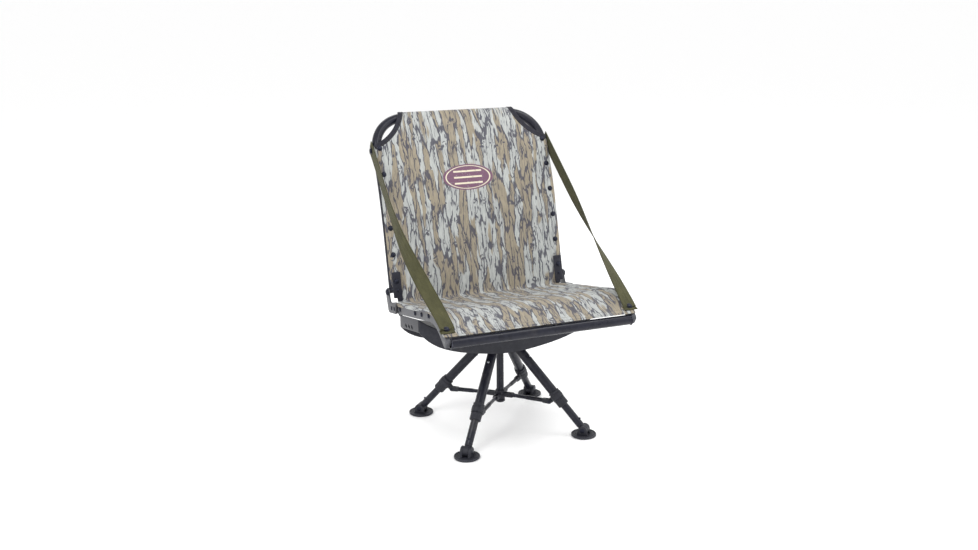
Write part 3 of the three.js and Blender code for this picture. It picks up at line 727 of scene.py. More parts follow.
def tape(name):
    """Black binding tape, a ribbed polyester."""
    look = Look(name)
    place = look.object_place()
    ribs = look.noise(place, 1300, 2, 0.6)
    mottle = look.noise(place, 120, 3, 0.6)
    shade = look.ramp(mottle, [(0.3, tone(22, 22, 30)), (0.7, tone(38, 38, 48))])
    return look.finish(shade, 0.74, ribs, 0.0002, 0.6, Sheen_Weight=0.1, Sheen_Roughness=0.4,
                       Specular_IOR_Level=0.3)


make_camera()
make_studio()

CHARCOAL = coated_metal("charcoal_coat", tone(25, 26, 36), tone(88, 90, 102), 0.28)
RAIL_GREY = coated_metal("rail_coat", tone(66, 67, 72), tone(120, 120, 124), 0.42)
CRADLE_GREY = coated_metal("cradle_coat", tone(38, 39, 46), tone(84, 84, 88), 0.44, 0.1)
PLATE_BLACK = coated_metal("plate_coat", tone(30, 31, 40), tone(80, 80, 88), 0.4)
BLACK = moulded_plastic("black_plastic", tone(32, 33, 41))
SOFT_BLACK = moulded_plastic("pad_rubber", tone(34, 35, 43), 0.5)
DARK_STEEL = bare_steel("dark_steel", tone(44, 46, 58))
BRIGHT_STEEL = bare_steel("bright_steel", tone(206, 208, 212), 0.26)
BARK_CLOTH = bark_cloth("bark_cloth")
OLIVE = webbing("olive_webbing")
THREAD = thread("dark_thread", tone(58, 56, 48))
OLIVE_THREAD = thread("olive_thread", tone(72, 72, 44))
TAPE = tape("binding_tape")


# ---------------------------------------------------------------- base

def make_hub():
    shape = Shape()
    disc = rounded([(0, 250), (60, 250), (60, 258), (0, 258)], 1.4)
    boss = rounded([(11, 249), (11, 238), (15, 238), (15, 249)], 1)
    shape.add(lathe(disc, 72), CRADLE_GREY)
    shape.add(lathe([*boss, boss[0]], 48), CRADLE_GREY)
    ear = [(33, 250.5), (57, 250.5), *arc((45, 233.2), 12, 0, -180)]
    for leg in LEGS:
        turn = Matrix.Rotation((leg - 1) * pi / 2, 4, "Z")
        for side in (8.3, -13.3):
            shape.add(plate(ear, 5, 0.7), CRADLE_GREY, turn @ shift(0, side, 0) @ STAND_Y)
        web = rounded([(16, 250.5), (16, 241), (26, 250.5)], 1, closed=True)
        shape.add(plate(web, 3, 0.5), CRADLE_GREY, turn @ shift(0, -1.5, 0) @ STAND_Y)
        between = Matrix.Rotation((leg - 0.5) * pi / 2, 4, "Z")
        bolt = between @ shift(46, 0, 250) @ toward((0, 0, -1))
        shape.add(hexagon(9, 4), DARK_STEEL, bolt)
    settle(shape.make("hub", BASE), "base", "cradle_coat", "leg_hub")


def make_post():
    post = Shape().add(pipe(8.5, 10, 74, 249.6), CHARCOAL)
    settle(post.make("post", BASE), "base", "tube_coat", "centre_post")
    cap_line = rounded([(0, 67), (10.5, 67), (13, 69.2), (13, 73.7), (8.2, 73.7), (8.2, 84), (0, 84)], 0.7)
    cap = Shape().add(lathe(cap_line), BLACK)
    settle(cap.make("post_end", BASE), "base", "black_plastic", "post_cap")


def make_bearing():
    lower = rounded([(0, 258.3), (52, 258.3), (52, 264.3), (18, 264.3), (18, 276), (0, 276)], 0.8)
    ring = [(18.4, 264.7), (56, 264.7), (56, 271), (34, 271), (34, 278.6), (18.4, 278.6)]
    upper = rounded(ring, 0.8, closed=True)
    shape = Shape().add(lathe(lower, 72), DARK_STEEL)
    settle(shape.make("swivel_plate_lower", BASE), "base", "dark_steel", "bearing_lower")
    shape = Shape().add(lathe([*upper, upper[0]], 72), DARK_STEEL)
    settle(shape.make("swivel_plate_upper", CHAIR), "seat", "dark_steel", "bearing_upper")


def make_slider():
    shape = Shape()
    body = [(10.3, 75.5), (12.6, 75.5), (12.6, 80), (12, 81), (12, 97), (12.6, 98), (12.6, 101), (10.3, 101)]
    body = rounded(body, 0.7, closed=True)
    shape.add(lathe([*body, body[0]], 48), BLACK)
    x, _, z = SLIDER_PIN
    lug = [(9, z + 5.5), (9, z - 5.5), *arc((x, z), 5.5, -90, 90)]
    for leg in LEGS:
        turn = Matrix.Rotation((leg - 1) * pi / 2, 4, "Z")
        for side in (4, -7):
            shape.add(plate(lug, 3, 0.6), BLACK, turn @ shift(0, side, 0) @ STAND_Y)
        pin = turn @ shift(x, 0, z) @ ALONG_Y
        shape.add(rod(2, -7.9, 7.9, 0.4, 20), DARK_STEEL, pin)
    settle(shape.make("brace_runner", BASE), "brace_slider", "black_plastic", "brace_slider")


def make_leg(number):
    here = leg_frame(number)
    name = f"{{}}_{number}".format

    pin = Shape()
    half = [(0, 17.3), (5.6, 17.3), (5.6, 14.6), (3.7, 14.6)]
    pin_line = [(radius, -along) for radius, along in half] + half[::-1]
    pin.add(lathe(rounded(pin_line, 0.8), 32), DARK_STEEL, ALONG_Y)
    settle(pin.make(name("pivot_pin"), here), "base", "dark_steel", name("leg_pin"))

    upper = Shape()
    tongue = [*arc((0, 0), 11, 180, 360), (11, 20), (-11, 20)]
    upper.add(plate(tongue, 16, 0.9), CHARCOAL, shift(0, -8, 0) @ STAND_Y)
    upper.add(pipe(TUBE - WALL, TUBE, 14, 176), CHARCOAL)
    upper.add(rod(TUBE - 0.3, 13.2, 18, 0.8, 48), BLACK)
    for direction in (-1, 1):
        rivet = toward((direction, 0, 0), (direction * (TUBE - 0.3), 0, 46))
        upper.add(dome(1.5, 3, 3.3, 1.6), BRIGHT_STEEL, rivet)
    settle(upper.make(name("upper_tube"), here), name("leg"), "tube_coat", name("upper_leg"))

    collar = Shape()
    outside = [
        (13.0, 160), (14.6, 160), (15.4, 161), (15.4, 163.5), (14.9, 164.2), (14.9, 168), (16.4, 169.2),
        (16.4, 180), (15.4, 181), (15.4, 183), (16.2, 183.6), (16.2, 185.5), (10.3, 185.5),
        (10.3, 176.6), (13.0, 176.3),
    ]
    line = rounded(outside, 0.5, closed=True, steps=3)
    collar.add(lathe([*line, line[0]], 60), BLACK)
    reach, along = EAR_PIN.x, EAR_PIN.z
    ear = [(14.5, along + 7.4), (14.5, along - 7.4), *arc((reach, along), 6.5, -80, 80)]
    collar.add(plate(ear, 6, 0.8), BLACK, shift(0, -3, 0) @ STAND_Y)
    for angle in range(45, 360, 45):
        rib = Matrix.Rotation(radians(angle), 4, "Z") @ shift(15.0, 0, 172.5)
        collar.add(block((3.2, 2.2, 10), 0.6), BLACK, rib)
    settle(collar.make(name("joint_collar"), here), name("leg"), "black_plastic", name("leg_collar"))

    ring = Shape()
    ring_line = [(10.3, 186), (14.4, 186), (15, 187), (15, 205), (13.6, 206), (10.3, 206)]
    line = rounded(ring_line, 0.7, closed=True, steps=3)

    def grip(angle, z, radius):
        if radius < 13:
            return 0
        groove = -0.75 * max(0, cos(14 * angle)) ** 2
        return groove * smoothstep(z, 188.5, 189.5) * smoothstep(-z, -203.5, -202.5)

    tall = []
    for a, b in zip(line, [*line[1:], line[0]]):
        parts = max(1, round((b - a).length / 1.5))
        tall += [a.lerp(b, k / parts) for k in range(parts)]
    ring.add(lathe([*tall, tall[0]], 112, grip), BLACK)
    settle(ring.make(name("twist_lock"), here), name("lock_ring"), "black_plastic", name("lock_ring"))

    lower = Shape().add(pipe(8.5, 10, 60, 273), CHARCOAL)
    settle(lower.make(name("lower_tube"), here), name("foot"), "tube_coat", name("lower_leg"))

    stem = Shape()
    stem.add(rod(8.1, 246, 274, 0.6, 40), BLACK)
    stem.add(lathe(rounded([(0, 273.2), (10, 273.2), (10, 275.6), (7.6, 277), (0, 277)], 0.6), 40), BLACK)
    stem.add(block((14, 13.6, 14), 2), BLACK, shift(0, 0, 281))
    stem.add(rod(KNUCKLE_RADIUS, -7.5, 7.5, 1.1, 56), BLACK, shift(0, 0, KNUCKLE_ALONG) @ ALONG_Y)
    settle(stem.make(name("foot_knuckle"), here), name("foot"), "black_plastic", name("foot_stem"))

    button = Shape()
    nose = [(2.9 * cos(radians(a)), 12 + 1.5 * sin(radians(a))) for a in range(0, 90, 15)]
    line = [(0, 5), (2.9, 5), *nose, (0, 13.5)]
    button.add(lathe(line, 24), DARK_STEEL, toward((-1, 0, 0), (0, 0, BUTTON_ALONG)))
    settle(button.make(name("catch_button"), here), name("snap_button"), "dark_steel", name("snap_button"))

    make_pad(number)
    make_brace(number)


def make_pad(number):
    """A dished disc with ribs and rings, and the two cheeks that hold the leg's knuckle."""
    shape = Shape()
    profile = [
        (0, 0), (30.5, 0), (33.5, 2), (33.5, 5.6), (32.7, 6.5), (31.5, 6.5), (30.7, 5.6), (30, 4.3),
        (26.4, 4), (25.8, 4.8), (24.8, 4.8), (24.2, 4), (20.6, 4), (20, 4.8), (19, 4.8), (18.4, 4.1),
        (0, 4.1),
    ]
    shape.add(lathe(profile, 96), SOFT_BLACK)
    for k in range(24):
        rib = Matrix.Rotation(2 * pi * (k + 0.5) / 24, 4, "Z") @ shift(23.4, 0, 4.1)
        shape.add(block((13, 1.1, 1.3), 0.4), SOFT_BLACK, rib)
    cheek = arc((0, KNUCKLE_Z), KNUCKLE_RADIUS, 0, 180, 20)
    cheek += [(-13.4, 10), (-15.5, 3.6), (15.5, 3.6), (13.4, 10)]
    for side in (7.8, -14.8):
        shape.add(plate(cheek, 7, 1.1), SOFT_BLACK, shift(0, side, 0) @ STAND_Y)
    axle = shift(0, 0, KNUCKLE_Z) @ ALONG_Y
    shape.add(rod(4, -15.6, 15.6, 0.5, 24), DARK_STEEL, axle)
    for side in (-1, 1):
        head = rounded([(0, 14.4), (6.6, 14.4), (6.6, 15.4), (0, 15.4)], 0.4)
        shape.add(lathe(head, 32), DARK_STEEL, toward((0, side, 0), (0, 0, KNUCKLE_Z)))
    pad_r = LEG_PIVOT.x + sin(LEG_ANGLE) * KNUCKLE_ALONG
    place = leg_plane(number) @ shift(pad_r, 0, 0)
    node = f"foot_pad_{number}"
    settle(shape.make(f"ground_pad_{number}", place), node, "black_plastic", node)


def make_brace(number):
    """Made from the outer pin, x along the bar to the slider's pin and y along the pins."""
    outer = leg_frame(number) @ EAR_PIN
    inner = leg_plane(number) @ SLIDER_PIN
    ahead = (inner - outer).normalized()
    across = Vector(JOINTS[f"leg_{number}_fold"]["axis"])
    place = Matrix((ahead, across, ahead.cross(across))).transposed().to_4x4()
    place.translation = outer
    length = (inner - outer).length * 1000

    shape = Shape()
    flat_from, round_to = length - 38, length - 50
    stations = [14, 15, 20, 30, *[round_to + 12 * k / 8 for k in range(9)], length - 20, length - 5]
    rings = []
    for x in stations:
        flatness = smoothstep(x, round_to, flat_from)
        high, thick = 5.8 - 1.25 * flatness, 5.8 - 2.4 * flatness
        power = 1 / (1 + 2.2 * flatness)
        ring = []
        for k in range(32):
            turn = 2 * pi * k / 32
            out = abs(cos(turn)) ** power * (1 if cos(turn) > 0 else -1)
            ring.append(Vector((x, thick * out, high * sin(turn))))
        rings.append(ring)
    shape.add(skin(rings), CHARCOAL)
    eye = [*arc((length, 0), 4.6, -90, 90), (length - 8, 4.6), (length - 8, -4.6)]
    shape.add(plate(eye, 6.9, 0.7), CHARCOAL, shift(0, -3.45, 0) @ STAND_Y)

    cheek = [*arc((0, 0), 6.2, 90, 270), (17, -5.4), (19, -4), (19, 4), (17, 5.4)]
    for side in (3.4, -6.4):
        shape.add(plate(cheek, 3, 0.7), BLACK, shift(0, side, 0) @ STAND_Y)
    shape.add(block((9, 12, 10.4), 1.0), BLACK, shift(15.5, 0, 0))
    shape.add(rod(2.5, -7.3, 7.3, 0.4, 20), DARK_STEEL, ALONG_Y)
    for side in (-1, 1):
        shape.add(rod(4, 0, 1.2, 0.5, 24), DARK_STEEL, toward((0, side, 0), (0, side * 6.4, 0)))
    settle(shape.make(f"brace_bar_{number}", place @ MM), f"brace_{number}", "tube_coat", f"brace_{number}")


# ---------------------------------------------------------------- seat frame

RAIL_CURVE = smooth([(0, y, z) for y, z in RAIL_LINE], 10)


def rail_point(y):
    """The rail's centre line at a place along the chair, and the direction square to it."""
    line = RAIL_CURVE
    for a, b in zip(line, line[1:]):
        if b.y <= y:
            break
    ahead = (b - a).normalized()
    return a + (b - a) * ((y - a.y) / (b.y - a.y)), Vector((0, ahead.z, -ahead.y))


def make_rail(word, side):
    shape = Shape()
    half_w, half_h = RAIL_WIDTH / 2, RAIL_HEIGHT / 2
    section = box_outline(-half_w, half_w, -half_h, half_h, 2.2)
    middle = Vector((RAIL_OUTER - half_w, 0, 0))
    line = [point + middle for point in RAIL_CURVE if point.y > RAIL_FRONT]
    shape.add(sweep(line, section, Vector((1, 0, 0))), RAIL_GREY)
    for y in RAIL_BOLTS:
        point, _ = rail_point(y)
        head = toward((1, 0, 0), (RAIL_OUTER - 0.2, point.y, point.z))
        nut = toward((-1, 0, 0), (RAIL_INNER, point.y, point.z))
        shape.add(dome(2.6, 5, 5.6, 3.0, 7), DARK_STEEL, head)
        shape.add(hexagon(8, 4), DARK_STEEL, nut)
    y, z = HINGE.y, HINGE.z
    ear = [
        (92, 320), (150, 309), (160, 313), (y + 17, z - 16), (y + 11.5, z - 2),
        *arc((y, z), 11.5, 0, 180, 16), (y - 11.5, z - 8), (138, 341), (92, 350),
    ]
    ear = plate(rounded(ear, 3, closed=True, steps=3), 3.8, 0.7)
    shape.add(ear, RAIL_GREY, shift(256.8, 0, 0) @ STAND_X)
    spacer = shift(255.2, 116, 330) @ Matrix.Rotation(-0.2, 4, "X")
    shape.add(block((4.4, 40, 16), 0.8), RAIL_GREY, spacer)
    for y_bolt in (103, 128):
        point, _ = rail_point(y_bolt)
        shape.add(dome(2.6, 4, 5.6, 2.8), DARK_STEEL, toward((1, 0, 0), (260.5, y_bolt, point.z)))
    settle(shape.make(f"side_rail_{word}", on_side(side)), "seat", "rail_coat", f"seat_rail_{word}")

    ahead = (line[-1] - line[-3]).normalized()
    square = Vector((0, ahead.z, -ahead.y))
    rings = []
    for k in range(9):
        a = pi / 2 * k / 8
        reach = RAIL_NOSE * sin(a)
        low = -half_h + 0.6 * RAIL_NOSE * (1 - cos(a))
        high = half_h - 0.3 * RAIL_NOSE * (1 - cos(a))
        wide = half_w - 1.2 * (1 - cos(a))
        nose = box_outline(-wide, wide, low, high, 2.2)
        rings.append([line[-1] + ahead * reach + Vector((p.x, 0, 0)) + square * p.y for p in nose])
    end = Shape().add(skin(rings), RAIL_GREY)
    settle(end.make(f"rail_cap_{word}", on_side(side)), "seat", "rail_coat")

    welds = Shape()
    for tube, radius in ((FRONT_TUBE, TUBE), (REAR_TUBE, REAR_RADIUS)):
        bead = arc((radius + 0.2, 0), 1.4, 0, 360, 12)[:-1]

        def bulge(angle, z, at):
            return 0.25 * sin(angle * 30) if at > radius else 0

        body = lathe([*bead, bead[0]], 90, bulge)
        welds.add(body, CHARCOAL, toward((1, 0, 0), (RAIL_INNER - 1.2, tube.y, tube.z)))
    settle(welds.make(f"rail_welds_{word}", on_side(side)), "seat", "rail_coat")


def make_cross_tubes():
    half = RAIL_INNER - 0.3
    for word, radius, at in (("front", TUBE, FRONT_TUBE), ("rear", REAR_RADIUS, REAR_TUBE)):
        tube = pipe(radius - WALL, radius, -half, half, sides=64)
        shape = Shape().add(tube, CHARCOAL, toward((1, 0, 0), at))
        settle(shape.make(f"{word}_bar", CHAIR), "seat", "tube_coat", f"{word}_tube")


CRADLE_HALF, CRADLE_WIDE, CRADLE_SHEET = 253, 80, 2.5
CRADLE_BOTTOM = [(0, 231.5), (113, 241.5), (180, 255), (215, 270), (238, 287), (253, 305)]
CRADLE_TOP = [(0, 281.5), (113, 291), (180, 304.5), (215, 316.5), (238, 328.5), (253, 338)]


def both_ways(points):
    """A line given from the middle to one end, smoothed from end to end."""
    return smooth([(-x, z) for x, z in reversed(points[1:])] + points, 8)


CRADLE_LOW, CRADLE_HIGH = both_ways(CRADLE_BOTTOM), both_ways(CRADLE_TOP)


def height_on(line, x):
    for a, b in zip(line, line[1:]):
        if b.x >= x:
            break
    return a.y + (b.y - a.y) * (x - a.x) / (b.x - a.x)


def cradle_block(sheet, bend, deeper):
    """The cradle as a solid, its skin drawn in by a sheet and its upper edges rounded."""
    half, wide = CRADLE_HALF - sheet, CRADLE_WIDE - sheet
    stations = []
    for k in range(7):
        a = pi / 2 * k / 6
        stations.append((half - bend + bend * cos(a), bend * (1 - sin(a))))
    stations += [(x, 0) for x in (240, 228, 215, 200, 180, 160, 140, 113, 90, 70, 50, 35, 20, 8)]
    stations += [(-x, drawn) for x, drawn in reversed(stations)]
    rings = []
    for x, drawn in stations:
        low = height_on(CRADLE_LOW, x) - deeper
        high = height_on(CRADLE_HIGH, x) - sheet - drawn
        edge = wide - drawn
        corner = arc((edge - bend, high - bend), bend, 0, 90, 5)
        right = [Vector((edge, low)), *corner]
        section = right + [Vector((-p.x, p.y)) for p in reversed(right)]
        slope = 0.2 * (x / CRADLE_HALF) ** 2
        rings.append([Vector((x, p.x, p.y - slope * p.x)) for p in section])
    return skin(rings)


def make_cradle():
    """A pressed channel, open below, with three slots through each end."""
    made = Shape().add(cradle_block(0, 3.5, 0), CRADLE_GREY).make("cradle", CHAIR)
    hollow = Shape().add(cradle_block(CRADLE_SHEET, 2.5, 15), CRADLE_GREY)
    slots = Shape()
    outline = box_outline(-6.5, 6.5, -4.5, 4.5, 3)
    for side in (-1, 1):
        for place in (-1, 0, 1):
            at = Vector((side * CRADLE_HALF, place * 25, 312 - 0.2 * place * 25))
            slot = Matrix.Translation(at) @ Matrix.Rotation(0.35, 4, "X")
            slots.add(skin([[Vector((x, p.x, p.y)) for p in outline] for x in (-8, 8)]), CRADLE_GREY, slot)
    for tool in (hollow.make("cradle_hollow", CHAIR), slots.make("cradle_slots", CHAIR)):
        cut = made.modifiers.new("cut", "BOOLEAN")
        cut.object = tool
        cut.operation = "DIFFERENCE"
        cut.solver = "EXACT"
        apply_modifiers(made)
        bpy.data.objects.remove(tool)
    made.data.polygons.foreach_set("use_smooth", [True] * len(made.data.polygons))
    made.data.set_sharp_from_angle(angle=radians(40))
    settle(made, "seat", "cradle_coat", "cross_cradle")

    bolts = Shape()
    for k in range(4):
        x, y = 44 * cos(pi / 4 + k * pi / 2), 44 * sin(pi / 4 + k * pi / 2)
        at = Matrix.Translation((x, y, height_on(CRADLE_HIGH, x)))
        bolts.add(dome(3, 3, 7, 3.4, 9), DARK_STEEL, at)
    settle(bolts.make("cradle_bolts", CHAIR), "seat", "dark_steel")


def apply_modifiers(made):
    bpy.context.view_layer.update()
    mesh = bpy.data.meshes.new_from_object(made.evaluated_get(bpy.context.evaluated_depsgraph_get()))
    old = made.data
    made.modifiers.clear()
    made.data = mesh
    mesh.name = made.name
    bpy.data.meshes.remove(old)


# ---------------------------------------------------------------- cloth

def cloth_grid(surface, rows, thickness):
    """A sheet through rows of (u, v) places, given its thickness on both sides and closed round its rim."""
    middles = [[surface(u, v) for u, v in row] for row in rows]
    across = len(rows[0])
    normals = [[Vector() for _ in row] for row in rows]
    for i in range(len(rows) - 1):
        for j in range(across - 1):
            spots = ((i, j), (i, j + 1), (i + 1, j + 1), (i + 1, j))
            a, b, c, d = (middles[p][q] for p, q in spots)
            normal = (c - a).cross(d - b).normalized()
            for p, q in spots:
                normals[p][q] = normals[p][q] + normal
    points, coordinates = [], []
    for offset in (thickness / 2, -thickness / 2):
        for i, row in enumerate(rows):
            for j, (u, v) in enumerate(row):
                points.append(middles[i][j] + normals[i][j].normalized() * offset)
                coordinates.append(Vector((u, v, 1 if offset > 0 else 0)) / 1000)
    layer = len(rows) * across
    faces = []
    for i in range(len(rows) - 1):
        for j in range(across - 1):
            quad = [i * across + j, i * across + j + 1, (i + 1) * across + j + 1, (i + 1) * across + j]
            faces += [quad, [layer + k for k in reversed(quad)]]
    last = (len(rows) - 1) * across
    rim = [(j, j + 1) for j in range(across - 1)] + [(last + j + 1, last + j) for j in range(across - 1)]
    for i in range(len(rows) - 1):
        start, after = i * across, (i + 1) * across
        rim += [(after, start), (start + across - 1, after + across - 1)]
    faces += [[b, a, layer + a, layer + b] for a, b in rim]
    return (points, faces), coordinates


def stitches(shape, surface, path, material, lift, pitch=4.2, length=2.9, radius=0.42):
    """Thread lying along a line of (u, v) places on a surface, on the side that lift points to."""
    spots = [Vector(surface(u, v)) for u, v in path]
    total = lengths(spots)
    count = int(total[-1] / pitch)
    for k in range(count):
        point, ahead = at_length(spots, total, (k + 0.5) * total[-1] / count)
        place = at_length([Vector((*p, 0)) for p in path], total, (k + 0.5) * total[-1] / count)[0]
        out = surface_normal(surface, place.x, place.y)
        across = ahead.cross(out).normalized()
        turn = Matrix((ahead.normalized(), across, out)).transposed().to_4x4()
        turn.translation = point + out * lift
        line = [(0, -0.5), (0.6, -0.42), (0.95, -0.2), (1, 0), (0.95, 0.2), (0.6, 0.42), (0, 0.5)]
        body = lathe([(r * radius, z * length) for r, z in line], 8)
        shape.add(body, material, turn @ ALONG_X)


def surface_normal(surface, u, v, step=0.5):
    du = surface(u + step, v) - surface(u - step, v)
    dv = surface(u, v + step) - surface(u, v - step)
    return du.cross(dv).normalized()


# ---------------------------------------------------------------- back

def back_profile(s):
    """The side view of the back: a point a distance s up from the hinge, and its lean."""
    bent = max(s - BACK_STRAIGHT, 0)
    straight = s - bent
    lean = BACK_LEAN + BACK_BEND * bent
    y = HINGE.y + straight * sin(BACK_LEAN) + (cos(BACK_LEAN) - cos(lean)) / BACK_BEND
    z = HINGE.z + straight * cos(BACK_LEAN) + (sin(lean) - sin(BACK_LEAN)) / BACK_BEND
    return y, z, lean


def on_back(x, s, front):
    y, z, lean = back_profile(s)
    return Vector((x, y - front * cos(lean), z + front * sin(lean)))


def back_line():
    """The middle of the back's tube: up one side, round two corners and down the other."""
    rise = BACK_LENGTH - BACK_CORNER
    half = [(BACK_HALF, s) for s in [rise * k / 40 for k in range(40)]]
    corner = arc((BACK_HALF - BACK_CORNER, rise), BACK_CORNER, 0, 90, 20)
    half += [(p.x, p.y) for p in corner] + [(x, BACK_LENGTH) for x in (115, 77, 38)]
    line = half + [(0, BACK_LENGTH)] + [(-x, s) for x, s in reversed(half)]
    return [on_back(x, s, 0) for x, s in line]


def make_back_frame():
    shape = Shape()
    ring = [(TUBE * cos(2 * pi * k / 40), TUBE * sin(2 * pi * k / 40)) for k in range(40)]
    line = back_line()
    shape.add(sweep(line, ring, Vector((0, 1, 0))), CHARCOAL)
    for end, inner in ((line[0], line[1]), (line[-1], line[-2])):
        out = (end - inner).normalized()
        cap = rounded([(0, -4), (TUBE - 0.2, -4), (TUBE - 0.2, 1.6), (TUBE - 2.4, 3), (0, 3)], 0.8)
        shape.add(lathe(cap, 40), BLACK, toward(out, end))
    settle(shape.make("back_tube", CHAIR), "back", "tube_coat", "back_frame")


# ---------------------------------------------------------------- sling

# One cloth makes the seat and the back: u runs across it and v up it, and on the back v is the distance
# up from the hinge. Below V_JOIN it follows a line down into the crease and forwards over the seat.
CLOTH_FRONT = 15.0
V_JOIN = 30
TOP_END = BACK_LENGTH + CLOTH_FRONT * radians(205)
SIDE_EDGE = BACK_HALF + CLOTH_FRONT * radians(42)
CUT_START = CUT_S - sqrt(CUT_RADIUS ** 2 - (CUT_X - SIDE_EDGE) ** 2)
SCREWS = [27 + 71.7 * k for k in range(6)]
SCREW_X = 239.5
LOWER_LINE = [
    (-290, 368.5), (-262, 381), (-225, 395), (-185, 398.5), (-150, 395), (-100, 385), (-20, 367.5), (60, 352),
    (112, 342), (127, 339.6), (135.5, 342), (139.2, 349), (142, 359.8), (146.3, 377.3), (151.1, 396.7),
]
LOWER_PATH = smooth([(0, y, z) for y, z in LOWER_LINE], 14)
LOWER_LENGTHS = lengths(LOWER_PATH)
V_FRONT = V_JOIN - LOWER_LENGTHS[-1]
EDGE_TURN = 2.6
SEAT_HALF = RAIL_OUTER + EDGE_TURN * pi / 2 + 4
CREASE_HALF = 240
HEM_ROUND = 16


def seat_place(v):
    return at_length(LOWER_PATH, LOWER_LENGTHS, min(max(v - V_FRONT, 0), LOWER_LENGTHS[-1]))


def sling_half(v):
    """Half the cloth's width: wrapped over the rails, narrow between the hinges, wrapped round the back's
    tube, and cut away in a hollow at each top corner."""
    if v < V_JOIN:
        y = seat_place(v)[0].y
        half = SEAT_HALF - (SEAT_HALF - CREASE_HALF) * smoothstep(y, 96, 120)
        if v > -15:
            half = CREASE_HALF + (SIDE_EDGE - CREASE_HALF) * smoothstep(v, -15, V_JOIN)
        hem = v - V_FRONT
        if hem < HEM_ROUND:
            half -= HEM_ROUND - sqrt(HEM_ROUND ** 2 - (HEM_ROUND - hem) ** 2)
        return half
    below = min(v, CUT_S) - CUT_S
    hollow = CUT_X - sqrt(max(CUT_RADIUS ** 2 - below ** 2, 0))
    return min(SIDE_EDGE, hollow)


def seat_surface(u, v):
    """The cloth hangs between the rails, rises over them and turns down on their outer sides."""
    point, ahead = seat_place(v)
    normal = Vector((0, -ahead.z, ahead.y))
    reach = abs(u)
    over_rails = smoothstep(-point.y, -131, -121)
    free = smoothstep(-point.y, -118, -60)
    rise = 0
    if over_rails > 0:
        rail, square = rail_point(max(point.y, -295))
        rise = max((rail + square * (RAIL_HEIGHT / 2 + 1.0) - point).dot(normal), 0) * over_rails
    hem = smoothstep(v, V_FRONT, V_FRONT + 50)
    sag = 5 * max(1 - (u / 240) ** 2, 0) * free * hem
    share = smoothstep(reach, 205, RAIL_INNER)
    loose = smoothstep(-reach, -225, -150) * free * hem
    crumple = noise.noise(Vector((u * 0.018, v * 0.014, 3.1))) * 1.3 * loose
    lifted = point + normal * (rise * share - sag * (1 - share) + crumple)
    limit = RAIL_OUTER - EDGE_TURN + 1.0
    x = reach
    if reach > limit and free > 0:
        bend = (reach - limit) / EDGE_TURN
        x = limit + EDGE_TURN * sin(min(bend, pi / 2))
        lifted -= normal * EDGE_TURN * (1 - cos(min(bend, pi / 2)) + max(bend - pi / 2, 0))
    return lifted + Vector((x if u > 0 else -x, 0, 0))


def back_surface(u, v):
    """In front of the side tubes and round them a little, and over the top tube."""
    reach = abs(u)
    side = min(max((reach - BACK_HALF) / CLOTH_FRONT, 0), pi)
    x = min(reach, BACK_HALF) + CLOTH_FRONT * sin(side)
    slack = smoothstep(-reach, -232, -120) * smoothstep(v, V_JOIN, 150)
    bow = 5.5 * slack * smoothstep(-v, 10 - BACK_LENGTH, 150 - BACK_LENGTH)
    below_top = smoothstep(-v, 10 - BACK_LENGTH, 60 - BACK_LENGTH)
    crumple = noise.noise(Vector((u * 0.02, v * 0.012, 8.4))) * 1.6 * slack * below_top
    near = min(abs(v - s) for s in SCREWS)
    pucker = -1.1 * smoothstep(-near, -26, 0) * smoothstep(reach, 190, 232) * smoothstep(-reach, -246, -240)
    pucker *= smoothstep(v, V_JOIN, 60)
    front = CLOTH_FRONT * cos(side) - bow + crumple + pucker
    if v <= BACK_LENGTH:
        return on_back(x if u >= 0 else -x, v, front)
    over = (v - BACK_LENGTH) / CLOTH_FRONT
    y, z, lean = back_profile(BACK_LENGTH)
    ahead = Vector((0, -cos(lean), sin(lean)))
    up = Vector((0, sin(lean), cos(lean)))
    return Vector((x if u >= 0 else -x, y, z)) + (ahead * cos(over) + up * sin(over)) * CLOTH_FRONT


def sling_surface(u, v):
    """The whole cloth. Round the crease the seat's surface passes over into the back's."""
    if v >= V_JOIN:
        return back_surface(u, v)
    low = seat_surface(u, v)
    if v < -15:
        return low
    return low.lerp(on_back_edge(u, v, low), smoothstep(v, -15, V_JOIN))


def on_back_edge(u, v, low):
    """The lower line's place with the back's edge bent round its tube."""
    side = min(max((abs(u) - BACK_HALF) / CLOTH_FRONT, 0), pi)
    x = min(abs(u), BACK_HALF) + CLOTH_FRONT * sin(side)
    lean = back_profile(v)[2]
    behind = Vector((0, cos(lean), -sin(lean))) * CLOTH_FRONT * (1 - cos(side))
    return Vector((x if u >= 0 else -x, low.y, low.z)) + behind


EDGE_STEPS = (0, 0.8, 1.6, 2.4, 3.2, 4, 4.8, 5.6, 6.6, 8, 10, 13, 17, 21, 26, 32, 40, 50)


def sling_row(v):
    half = sling_half(v)
    middle = half - EDGE_STEPS[-1]
    right = [middle * k / 22 for k in range(23)] + [half - step for step in reversed(EDGE_STEPS[:-1])]
    return [(-u, v) for u in reversed(right[1:])] + [(u, v) for u in right]


def sling_stations():
    """Where the rows lie up the cloth: close together at the hems, the crease and the hollow corners."""
    stations = []
    marks = [
        (V_FRONT, 0.8), (V_FRONT + 4, 1.5), (V_FRONT + HEM_ROUND, 5), (-80, 3), (-52, 1.3), (0, 3),
        (V_JOIN, 6), (CUT_START - 12, 4), (CUT_START - 5, 0.7), (CUT_START + 2, 1.5), (CUT_START + 28, 4),
        (BACK_LENGTH - 6, 2.4), (TOP_END, 1),
    ]
    for (start, step), (end, _) in zip(marks, marks[1:]):
        count = max(1, round((end - start) / step))
        stations += [start + (end - start) * k / count for k in range(count)]
    return [*stations, TOP_END]


def bend_with_back(made):
    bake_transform(made)
    return made


